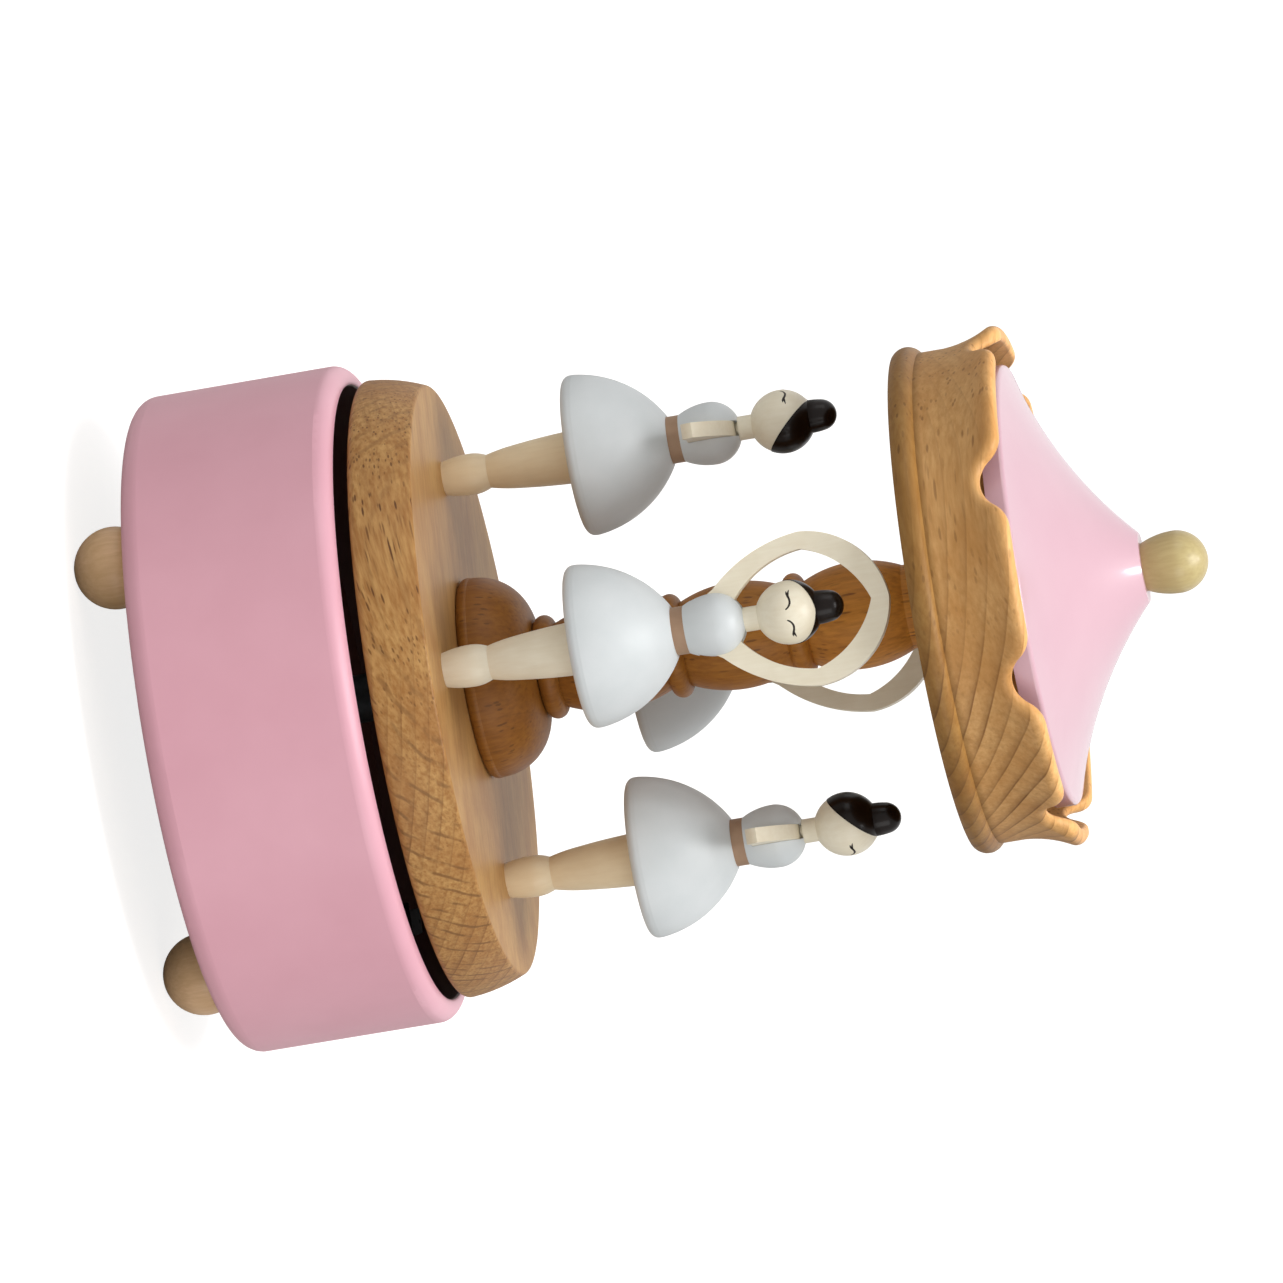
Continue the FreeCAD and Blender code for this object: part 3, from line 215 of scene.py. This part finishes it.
stageLook = {**beechLook, "light": "#bd9258", "middle": "#a87944", "streak": "#91602e", "streakDepth": 0.8,
             "layer": "#6c421d", "layerDepth": 0.9, "ray": "#76502a", "rayDepth": 0.88,
             "pore": "#563214", "poreDepth": 0.95, "poreKinds": [(0.1, 0.15), (0.7, 1.0)],
             "grainHeading": -25.0, "grainUp": 0.0, "arch": 0.0058, "archPlace": -15.0,
             "layerTilt": 41.0, "pith": (0.0, 150.0), "layerSpacing": 2.4, "layerWander": 3.0,
             "raySpacing": 2.0, "rayBreaks": [(0.43, 0.0), (0.55, 1.0)],
             "poreLength": 3.2, "poreWidth": 0.24, "poreCount": 0.46, "onTop": [(0.8, 1.0), (0.97, 0.12)],
             "endGrain": [(0.0, 0.5), (0.28, 0.4), (0.45, 0.15), (0.6, 0.35), (0.78, 0.75), (1.0, 1.0)],
             "paintedShadeHeights": (49.0, 61.0)}
crownLook = {**beechLook, "light": "#e6b374", "middle": "#d39b5b", "streak": "#bd8646", "streakDepth": 0.5,
             "layer": "#744719", "layerDepth": 1.0, "ray": "#a87c46", "rayDepth": 0.2,
             "pore": "#734a26", "poreDepth": 0.5, "roughness": 0.48,
             "grainHeading": -25.0, "grainUp": 0.0, "arch": 0.002, "archPlace": 0.0,
             "layerTilt": 36.0, "pith": (87.0, 80.0), "layerSpacing": 2.9, "layerWander": 2.4,
             "patches": [(0.36, 0.55), (0.6, 1.0)], "layerShares": [(0.38, 0.55), (0.6, 1.0)],
             "raySpacing": 3.4, "poreLength": 1.6, "poreWidth": 0.18, "poreCount": 0.26,
             "onTop": [(0.8, 1.0), (0.97, 0.5)],
             "endGrain": [(0.0, 0.2), (0.4, 0.2), (0.62, 0.4), (0.86, 0.9), (0.95, 1.0), (1.0, 1.0)],
             # painted shade on the bead at the crown's foot, painted highlight on its upward-facing rim
             "paintedShadeHeights": (141.4, 162.3),
             "paintedShadeByHeight": [(0.0, "#aea991"), (0.2, "#b1ac95"), (0.26, 0.8), (0.7, 0.82), (1.0, 1.0)],
             "paintedTopHighlight": [(0.3, 1.0), (0.75, 1.4)]}
columnLook = {**beechLook, "light": "#e0983f", "middle": "#ce8633", "streak": "#a36627", "streakDepth": 0.55,
              "layer": "#6f4519", "layerDepth": 0.35, "ray": "#7c4e24", "rayDepth": 0.1,
              "pore": "#38200d", "poreDepth": 0.9,
              "grainHeading": 0.0, "grainUp": 90.0, "arch": 0.0, "archPlace": 0.0,
              "layerTilt": 20.0, "pith": (0.0, 40.0), "layerSpacing": 2.8, "layerWander": 2.0,
              "raySpacing": 3.0, "poreLength": 1.3, "poreWidth": 0.18, "poreCount": 0.3,
              "onTop": [(0.8, 1.0), (0.97, 0.7)], "endGrain": [(0.0, 0.8), (0.5, 0.5), (1.0, 0.8)],
              # painted light and shade: darker at the dome, lighter up the vase where the crown shades it
              "paintedShadeHeights": (60.0, 141.4),
              "paintedShadeByHeight": [(0.0, "#b0adab"), (0.35, "#b2aead"), (0.7, 0.72), (0.9, 0.95), (1.0, 1.0)]}
stageBeech = makeBeech("beechTurnedStage", stageLook)
crownBeech = makeBeech("beechTurnedCrown", crownLook)
columnBeech = makeBeech("beechTurnedColumn", columnLook)


# Birch or maple, turned small and lacquered clear: pale, close-grained, almost without pores
def makePaleWood(name, look):
    surface = {"Roughness": look["roughness"], "IOR": 1.5, "Coat Weight": look["coat"],
               "Coat Roughness": look["coatRoughness"], "Specular IOR Level": look["specular"]}
    material, tree, shader, place = startMaterial(name, surface)
    turn = [math.radians(angle) for angle in look["grainTurn"]]
    board = addNode(tree, "ShaderNodeMapping", {"Rotation": turn}, {"Vector": place}).outputs["Vector"]
    threadSize = (look["threadLength"], look["threadWidth"], look["threadWidth"])
    threads = addNode(tree, "ShaderNodeMapping", {"Scale": [1 / (size * mm) for size in threadSize]},
                      {"Vector": board})
    fibres = addNode(tree, "ShaderNodeTexNoise", {"Scale": 0.8, "Detail": 4.0, "Roughness": 0.6},
                     {"Vector": threads.outputs["Vector"]}).outputs["Fac"]
    clouds = addNode(tree, "ShaderNodeTexNoise", {"Scale": 1 / (look["cloudSize"] * mm), "Detail": 2.0},
                     {"Vector": board}).outputs["Fac"]
    fibreTone, cloudTone = (
        addNode(tree, "ShaderNodeValToRGB", {"stops": look[key]}, {"Fac": source}).outputs["Color"]
        for key, source in (("fibreStops", fibres), ("cloudStops", clouds)))
    tone = addNode(tree, "ShaderNodeMix", {**laidOver, 6: look["light"], 7: look["middle"]},
                   {0: cloudTone}).outputs[2]
    streaked = addNode(tree, "ShaderNodeMix", {**laidOver, 7: look["streak"]},
                       {0: fibreTone, 6: tone}).outputs[2]
    tone = addNode(tree, "ShaderNodeMix", {**laidOver, 0: look["streakDepth"]},
                   {6: tone, 7: streaked}).outputs[2]
    tree.links.new(tone, shader.inputs["Base Color"])
    relief = addNode(tree, "ShaderNodeBump",
                     {"Strength": look["grainBump"], "Distance": look["grainRelief"] * mm},
                     {"Height": fibreTone})
    tree.links.new(relief.outputs["Normal"], shader.inputs["Normal"])
    print("material", name)
    return material


paleLook = {"coatRoughness": 0.25, "specular": 0.4, "fibreStops": [(0.34, 0.0), (0.7, 1.0)],
            "cloudStops": [(0.36, 0.0), (0.66, 1.0)], "grainRelief": 0.03, "grainTurn": (0.0, 90.0, 0.0)}
finialLook = {**paleLook, "light": "#c7b680", "middle": "#bda973", "streak": "#a88f5b", "streakDepth": 0.4,
              "threadLength": 5.0, "threadWidth": 0.5, "cloudSize": 7.0, "grainBump": 0.08,
              "roughness": 0.38, "coat": 0.25}
feetLook = {**paleLook, "light": "#ebc69c", "middle": "#dbb688", "streak": "#c3986a", "streakDepth": 0.45,
            "threadLength": 6.0, "threadWidth": 0.5, "cloudSize": 8.0, "grainBump": 0.08,
            "roughness": 0.45, "coat": 0.2}
# the bottom board is birch plywood and only sanded, so it stays dull
boardLook = {**paleLook, "light": "#d3b98a", "middle": "#c8aa78", "streak": "#b08f5c", "streakDepth": 0.6,
             "threadLength": 22.0, "threadWidth": 0.8, "cloudSize": 30.0, "grainTurn": (0.0, 0.0, 20.0),
             "grainBump": 0.2, "roughness": 0.7, "coat": 0.0}
# cream lacquer lies over the same pale wood and lets only a trace of its grain through
creamLook = {**paleLook, "light": "#f3ebd5", "middle": "#ece2ca", "streak": "#dfd1b2", "streakDepth": 0.3,
             "threadLength": 6.0, "threadWidth": 0.6, "cloudSize": 6.0, "grainBump": 0.05,
             "roughness": 0.42, "coat": 0.2}
# painted shade: the cream lacquer made tanner for the legs of the side and back dancers
shadedLegLook = {**creamLook, "light": "#f3e0bc", "middle": "#ecd7b2", "streak": "#dfc69d"}
finialMaple = makePaleWood("mapleTurnedFinial", finialLook)
feetMaple = makePaleWood("mapleTurnedFeet", feetLook)
boardBirch = makePaleWood("plywoodSandedBoard", boardLook)
creamLacquer = makePaleWood("creamLacquerOnTurnedWood", creamLook)
shadedCreamLacquer = makePaleWood("creamLacquerWithPaintedShade", shadedLegLook)


# Sprayed satin paint on turned wood: even colour with a slight mottle, a fine orange peel that
# breaks up the highlights, and a soft sheen
def makePaint(name, look):
    surface = {"Roughness": look["roughness"], "IOR": 1.5, "Specular IOR Level": look["specular"],
               "Coat Weight": look["coat"], "Coat Roughness": look["coatRoughness"]}
    material, tree, shader, place = startMaterial(name, surface)
    mottle = addNode(tree, "ShaderNodeTexNoise", {"Scale": 1 / (look["mottleSize"] * mm), "Detail": 4.0},
                     {"Vector": place}).outputs["Fac"]
    mottleTone = addNode(tree, "ShaderNodeValToRGB", {"stops": look["mottleStops"]}, {"Fac": mottle})
    tone = addNode(tree, "ShaderNodeMix", {**laidOver, 6: look["light"], 7: look["dark"]},
                   {0: mottleTone.outputs["Color"]}).outputs[2]
    if "bareShadedWithin" in look:
        # the inside of the shell, nearer to the axis than this, stays bare wood, painted dark as the shade
        # inside the base
        flat = addNode(tree, "ShaderNodeMapping", {"Scale": (1, 1, 0)}, {"Vector": place}).outputs["Vector"]
        reach = addNode(tree, "ShaderNodeVectorMath", {"operation": "LENGTH"}, {"Vector": flat})
        inside = addNode(tree, "ShaderNodeMath", {"operation": "LESS_THAN", 1: look["bareShadedWithin"] * mm},
                         {0: reach.outputs["Value"]}).outputs[0]
        tone = addNode(tree, "ShaderNodeMix", {**laidOver, 7: look["bareWoodInShade"]}, {0: inside, 6: tone}).outputs[2]
    tree.links.new(tone, shader.inputs["Base Color"])
    sheen = addNode(tree, "ShaderNodeMapRange",
                    {"To Min": look["roughness"] - look["smoother"],
                     "To Max": look["roughness"] + look["rougher"]}, {"Value": mottle})
    tree.links.new(sheen.outputs["Result"], shader.inputs["Roughness"])
    peel = addNode(tree, "ShaderNodeTexNoise", {"Scale": 1 / (look["peelSize"] * mm), "Detail": 2.0},
                   {"Vector": place})
    relief = addNode(tree, "ShaderNodeBump",
                     {"Strength": look["peelBump"], "Distance": look["peelRelief"] * mm},
                     {"Height": peel.outputs["Fac"]})
    tree.links.new(relief.outputs["Normal"], shader.inputs["Normal"])
    print("material", name)
    return material


paintLook = {"mottleStops": [(0.3, 0.0), (0.7, 1.0)], "smoother": 0.04, "rougher": 0.05, "peelRelief": 0.05}
pinkLook = {**paintLook, "light": "#e5acba", "dark": "#e0a6b4", "mottleSize": 16.0, "peelSize": 1.3,
            "peelBump": 0.1, "roughness": 0.44, "specular": 0.4, "coat": 0.22, "coatRoughness": 0.34,
            "bareShadedWithin": 53.9, "bareWoodInShade": "#74504a"}
# painted sheen: the base's pink paint, made paler and greyer for the sheen of light from above
roofSheenLook = {**paintLook, "light": "#d5acb8", "dark": "#d1a6b3", "mottleSize": 16.0, "peelSize": 1.3,
            "peelBump": 0.1, "roughness": 0.4, "specular": 0.5, "coat": 0.7, "coatRoughness": 0.12}
whiteLook = {**paintLook, "light": "#d6dadb", "dark": "#d0d5d6", "mottleSize": 6.0, "peelSize": 1.2,
             "peelBump": 0.1, "roughness": 0.42, "specular": 0.4, "coat": 0.06, "coatRoughness": 0.25}
bandLook = {**paintLook, "light": "#a98a70", "dark": "#9c7d64", "mottleSize": 3.0, "peelSize": 0.9,
            "peelBump": 0.15, "roughness": 0.5, "specular": 0.3, "coat": 0.03, "coatRoughness": 0.3}
hairLook = {**paintLook, "light": "#180c06", "dark": "#0e0603", "mottleSize": 3.0, "peelSize": 1.4,
            "peelBump": 0.2, "roughness": 0.3, "specular": 0.15, "coat": 0.1, "coatRoughness": 0.08}
inkLook = {**paintLook, "light": "#2a211c", "dark": "#1d1613", "mottleSize": 1.0, "peelSize": 0.6,
           "peelBump": 0.05, "roughness": 0.5, "specular": 0.3, "coat": 0.0, "coatRoughness": 0.3}
# black oxide on the governor: a dull coat that hides the metal under it, made near-black as painted shade
# inside the base
blackShadeLook = {**paintLook, "light": "#15130f", "dark": "#0f0e0c", "mottleSize": 1.5, "peelSize": 0.5,
             "peelBump": 0.1, "roughness": 0.75, "specular": 0.1, "coat": 0.0, "coatRoughness": 0.3}
pinkPaint = makePaint("pinkSatinPaint", pinkLook)
roofPaintWithSheen = makePaint("pinkSatinPaintWithPaintedSheen", roofSheenLook)
whitePaint = makePaint("whiteSatinPaint", whiteLook)
bandPaint = makePaint("brownSatinPaint", bandLook)
hairPaint = makePaint("blackGlossPaint", hairLook)
inkPaint = makePaint("darkBrushInk", inkLook)
blackOxideAndShade = makePaint("blackOxideWithPaintedShade", blackShadeLook)


# Movement metals: zinc dull as cast, darker as painted shade, steel bright with nickel, brass with fine
# turning streaks
def makeMetal(name, look):
    surface = {"Metallic": 1.0, "Roughness": look["roughness"]}
    material, tree, shader, place = startMaterial(name, surface)
    streaks = addNode(tree, "ShaderNodeMapping", {"Scale": look["streakScale"]}, {"Vector": place})
    wear = addNode(tree, "ShaderNodeTexNoise", {"Scale": 1 / (look["streakSize"] * mm), "Detail": 3.0},
                   {"Vector": streaks.outputs["Vector"]}).outputs["Fac"]
    tone = addNode(tree, "ShaderNodeMix", {**laidOver, 6: look["light"], 7: look["dark"]},
                   {0: wear}).outputs[2]
    tree.links.new(tone, shader.inputs["Base Color"])
    sheen = addNode(tree, "ShaderNodeMapRange",
                    {"To Min": look["roughness"] - look["smoother"],
                     "To Max": look["roughness"] + look["rougher"]}, {"Value": wear})
    tree.links.new(sheen.outputs["Result"], shader.inputs["Roughness"])
    relief = addNode(tree, "ShaderNodeBump", {"Strength": look["bump"], "Distance": look["relief"] * mm},
                     {"Height": wear})
    tree.links.new(relief.outputs["Normal"], shader.inputs["Normal"])
    print("material", name)
    return material


metalLook = {"smoother": 0.07, "rougher": 0.08, "relief": 0.03}
# painted shade: the zinc is darker than cast zinc, so the movement stays dark in the gap
zincLook = {**metalLook, "light": "#606264", "dark": "#4c4e51", "streakScale": (1, 1, 1), "streakSize": 0.8,
            "bump": 0.25, "roughness": 0.45}
steelLook = {**metalLook, "light": "#d0cfcc", "dark": "#b4b3b0", "streakScale": (1, 1, 6), "streakSize": 1.2,
             "bump": 0.06, "roughness": 0.28}
brassLook = {**metalLook, "light": "#dcbc72", "dark": "#c7a258", "streakScale": (8, 1, 1), "streakSize": 1.6,
             "bump": 0.05, "roughness": 0.3}
castZinc = makeMetal("zincDieCast", zincLook)
nickelSteel = makeMetal("steelNickelled", steelLook)
turnedBrass = makeMetal("brassTurned", brassLook)

# the finish of each material slot, and of the pieces whose finish differs within their slot
finishes = {
    "pink_paint": pinkPaint, "white_paint": whitePaint, "tan_band": bandPaint, "black_gloss": hairPaint,
    "cream_lacquer": creamLacquer, "plywood": boardBirch, "zinc": castZinc, "steel": nickelSteel,
    "brass": turnedBrass}
ownFinishes = {
    "stage_disc": stageBeech, "crown_ring": crownBeech, "column": columnBeech, "finial": finialMaple,
    "ball_feet": feetMaple, "roof_cone": roofPaintWithSheen, "worm_fly": blackOxideAndShade, "governor_frame": blackOxideAndShade,
    "dancer_left_legs": shadedCreamLacquer, "dancer_right_legs": shadedCreamLacquer, "dancer_back_legs": shadedCreamLacquer}
slotOf = {entry["node"]: entry["material_slot"] for entry in frame["record"]["subparts"]}
for name, part in parts.items():
    finish = ownFinishes.get(name) or finishes[slotOf[name]]
    for holder in part.material_slots:
        holder.material = finish
print("finishes on all pieces")

# Closed eyes, brushed on each face with a fine brush: one arched lid line with two short lashes at
# its outer end. A stroke's points are its place beside the middle of the face, its height above the
# stage and its half width, in millimetres. Each point is cast on the face from castFrom in front of
# the head's middle, and section is the stroke's own outline. Angles are in degrees round the stage.
eyeLook = {"lidLine": [(0.9, 59.85, 0.11), (1.25, 60.35, 0.15), (1.85, 60.7, 0.18), (2.5, 60.7, 0.18),
                       (3.1, 60.5, 0.21), (3.45, 60.44, 0.18)],
           "upperLash": [(3.0, 60.52, 0.14), (3.5, 60.58, 0.17), (4.0, 60.76, 0.06)],
           "lowerLash": [(3.0, 60.48, 0.14), (3.45, 60.33, 0.17), (3.85, 60.28, 0.06)],
           "section": ((-1, 0), (-0.6, 1), (0.6, 1), (1, 0), (0.6, -1), (-0.6, -1)),
           "thickness": 0.03, "stepsBetween": 6, "castFrom": 20,
           "stageTop": 60.2, "circle": 35.2, "phase": -4.0,
           "stand": {"front": 0.0, "right": 90.0, "back": 177.7, "left": 270.0},
           "headTurn": {"front": 8.0, "right": 0.0, "back": 0.0, "left": 12.0},
           "rise": {"front": 0.0, "right": -0.2, "back": 0.0, "left": 0.5}}


def smoothLine(points, count):
    # points along a smooth line through the given (x, z, half width) points
    ends = [points[0]] + list(points) + [points[-1]]
    line = []
    for i in range(1, len(ends) - 2):
        for step in range(count):
            t = step / count
            p0, p1, p2, p3 = (Vector(p) for p in ends[i - 1:i + 3])
            line.append(0.5 * ((2 * p1) + (p2 - p0) * t + (2 * p0 - 5 * p1 + 4 * p2 - p3) * t * t
                               + (3 * p1 - p0 - 3 * p2 + p3) * t * t * t))
    line.append(Vector(ends[-1]))
    return line


def brushStroke(points, mirror, surface, centre, facing, verts, faceList):
    # lays a thin raised stroke on the head along the line
    side = Vector((-facing.y, facing.x, 0)) * mirror
    spots = []
    for x, z, half in smoothLine(points, eyeLook["stepsBetween"]):
        start = centre + side * x * mm + facing * eyeLook["castFrom"] * mm + Vector((0, 0, z * mm))
        spot, normal = surface.ray_cast(start, -facing)[:2]
        spots.append((spot, normal, half * mm))
    first = len(verts)
    rise = eyeLook["thickness"] * mm
    for i, (spot, normal, half) in enumerate(spots):
        along = (spots[min(i + 1, len(spots) - 1)][0] - spots[max(i - 1, 0)][0]).normalized()
        across = normal.cross(along).normalized()
        for offset, lift in eyeLook["section"]:
            verts.append(spot + across * half * offset + normal * rise * lift)
    corners = len(eyeLook["section"])
    for i in range(len(spots) - 1):
        for k in range(corners):
            a = first + i * corners + k
            b = first + i * corners + (k + 1) % corners
            faceList.append((a, b, b + corners, a + corners))
    faceList.append(tuple(first + k for k in reversed(range(corners))))
    faceList.append(tuple(len(verts) - corners + k for k in range(corners)))


for name, stand in eyeLook["stand"].items():
    head = parts["dancer_" + name + "_head"]
    surface = BVHTree.FromPolygons([vertex.co for vertex in head.data.vertices],
                                   [face.vertices for face in head.data.polygons])
    place = math.radians(stand + eyeLook["phase"])
    gaze = math.radians(stand + eyeLook["headTurn"][name] + eyeLook["phase"])
    circle = eyeLook["circle"] * mm
    height = (eyeLook["stageTop"] + eyeLook["rise"][name]) * mm
    centre = Vector((circle * math.sin(place), -circle * math.cos(place), height))
    facing = Vector((math.sin(gaze), -math.cos(gaze), 0))
    verts, faceList = [], []
    for mirror in (1, -1):
        for stroke in ("lidLine", "upperLash", "lowerLash"):
            brushStroke(eyeLook[stroke], mirror, surface, centre, facing, verts, faceList)
    mesh = bpy.data.meshes.new("dancer_" + name + "_eyes")
    mesh.from_pydata(verts, [], faceList)
    mesh.materials.append(inkPaint)
    mesh.polygons.foreach_set("use_smooth", [True] * len(mesh.polygons))
    mesh.validate()
    eyes = bpy.data.objects.new("dancer_" + name + "_eyes", mesh)
    bpy.context.collection.objects.link(eyes)
    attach(eyes, "turntable")
print("eyes painted")

# A pale floor that reads white to the camera and still takes the object's soft shadow
floorLook = {"radius": 7.0, "colour": "#b2b0ad", "roughness": 0.9, "glow": 0.8, "corners": 96}
material, tree, shader, place = startMaterial("paleMattFloor", {"Base Color": floorLook["colour"],
                                                                "Roughness": floorLook["roughness"]})
seen = addNode(tree, "ShaderNodeLightPath").outputs["Is Camera Ray"]
glow = addNode(tree, "ShaderNodeMath", {"operation": "MULTIPLY", 1: floorLook["glow"]}, {0: seen}).outputs[0]
tree.links.new(glow, shader.inputs["Emission Strength"])
shader.inputs["Emission Color"].default_value = (1, 1, 1, 1)
bpy.ops.mesh.primitive_circle_add(vertices=floorLook["corners"], radius=floorLook["radius"], fill_type="NGON")
floor = bpy.context.object
floor.name = "floor"
floor.data.materials.append(material)

# Soft studio light: a big box above the front, a small one over the roof, a wide low one at the
# front right, a weak one at the left, and an even surround that shows white to camera and gloss
lightLook = {"over": {"place": (0.05, -0.62, 1.6), "size": 0.85, "power": 16.4},
             "top": {"place": (0.05, -0.02, 1.3), "size": 0.16, "power": 2.2},
             "front": {"place": (1.35, -1.55, 0.45), "size": 1.2, "power": 10.0},
             "left": {"place": (-1.6, -0.7, 0.7), "size": 0.9, "power": 3.6}}
lightAim = Vector((0, 0, 0.1))
surroundLook = {"onObject": 0.48, "seen": 1.0}
for name, lamp in lightLook.items():
    light = bpy.data.lights.new(name, "AREA")
    light.shape = "SQUARE"
    light.size = lamp["size"]
    light.energy = lamp["power"]
    holder = bpy.data.objects.new(name, light)
    holder.location = lamp["place"]
    holder.rotation_euler = (lightAim - Vector(lamp["place"])).to_track_quat("-Z", "Y").to_euler()
    bpy.context.collection.objects.link(holder)
world = bpy.data.worlds.new("plainSurround")
bpy.context.scene.world = world
world.use_nodes = True
tree = world.node_tree
tree.nodes.clear()
rays = addNode(tree, "ShaderNodeLightPath")
shown = addNode(tree, "ShaderNodeMath", {"operation": "ADD", "use_clamp": True},
                {0: rays.outputs["Is Camera Ray"], 1: rays.outputs["Is Glossy Ray"]}).outputs[0]
level = addNode(tree, "ShaderNodeMapRange",
                {"To Min": surroundLook["onObject"], "To Max": surroundLook["seen"]},
                {"Value": shown}).outputs["Result"]
background = addNode(tree, "ShaderNodeBackground", {"Color": (1, 1, 1, 1)}, {"Strength": level})
addNode(tree, "ShaderNodeOutputWorld", {}, {"Surface": background.outputs["Background"]})
print("floor and lights set")

# Camera: a long lens a little above the stage, rolled as the photo is, so that up points right
cameraLook = {"distance": 2.2, "elevation": 7.4, "roll": 80.45, "lens": 357.4, "sensor": 36.0,
              "aimHeight": 60.2, "slideRight": -1.727, "slideUp": 29.275, "nearest": 0.1, "farthest": 50.0}
tilt = math.radians(cameraLook["elevation"])
backward = Vector((0, -math.cos(tilt), math.sin(tilt)))
right = Vector((1, 0, 0))
upward = backward.cross(right)
spot = (Vector((0, 0, cameraLook["aimHeight"] * mm)) + backward * cameraLook["distance"]
        + right * (cameraLook["slideRight"] * mm) + upward * (cameraLook["slideUp"] * mm))
turned = (Matrix((right, upward, backward)).transposed()
          @ Matrix.Rotation(math.radians(cameraLook["roll"]), 3, "Z"))
cameraData = bpy.data.cameras.new("camera")
cameraData.sensor_fit = "HORIZONTAL"
cameraData.sensor_width = cameraLook["sensor"]
cameraData.lens = cameraLook["lens"]
cameraData.clip_start = cameraLook["nearest"]
cameraData.clip_end = cameraLook["farthest"]
camera = bpy.data.objects.new("camera", cameraData)
bpy.context.collection.objects.link(camera)
camera.matrix_world = Matrix.Translation(spot) @ turned.to_4x4()
bpy.context.scene.camera = camera
bpy.context.scene.view_settings.view_transform = "Standard"
print("camera set")
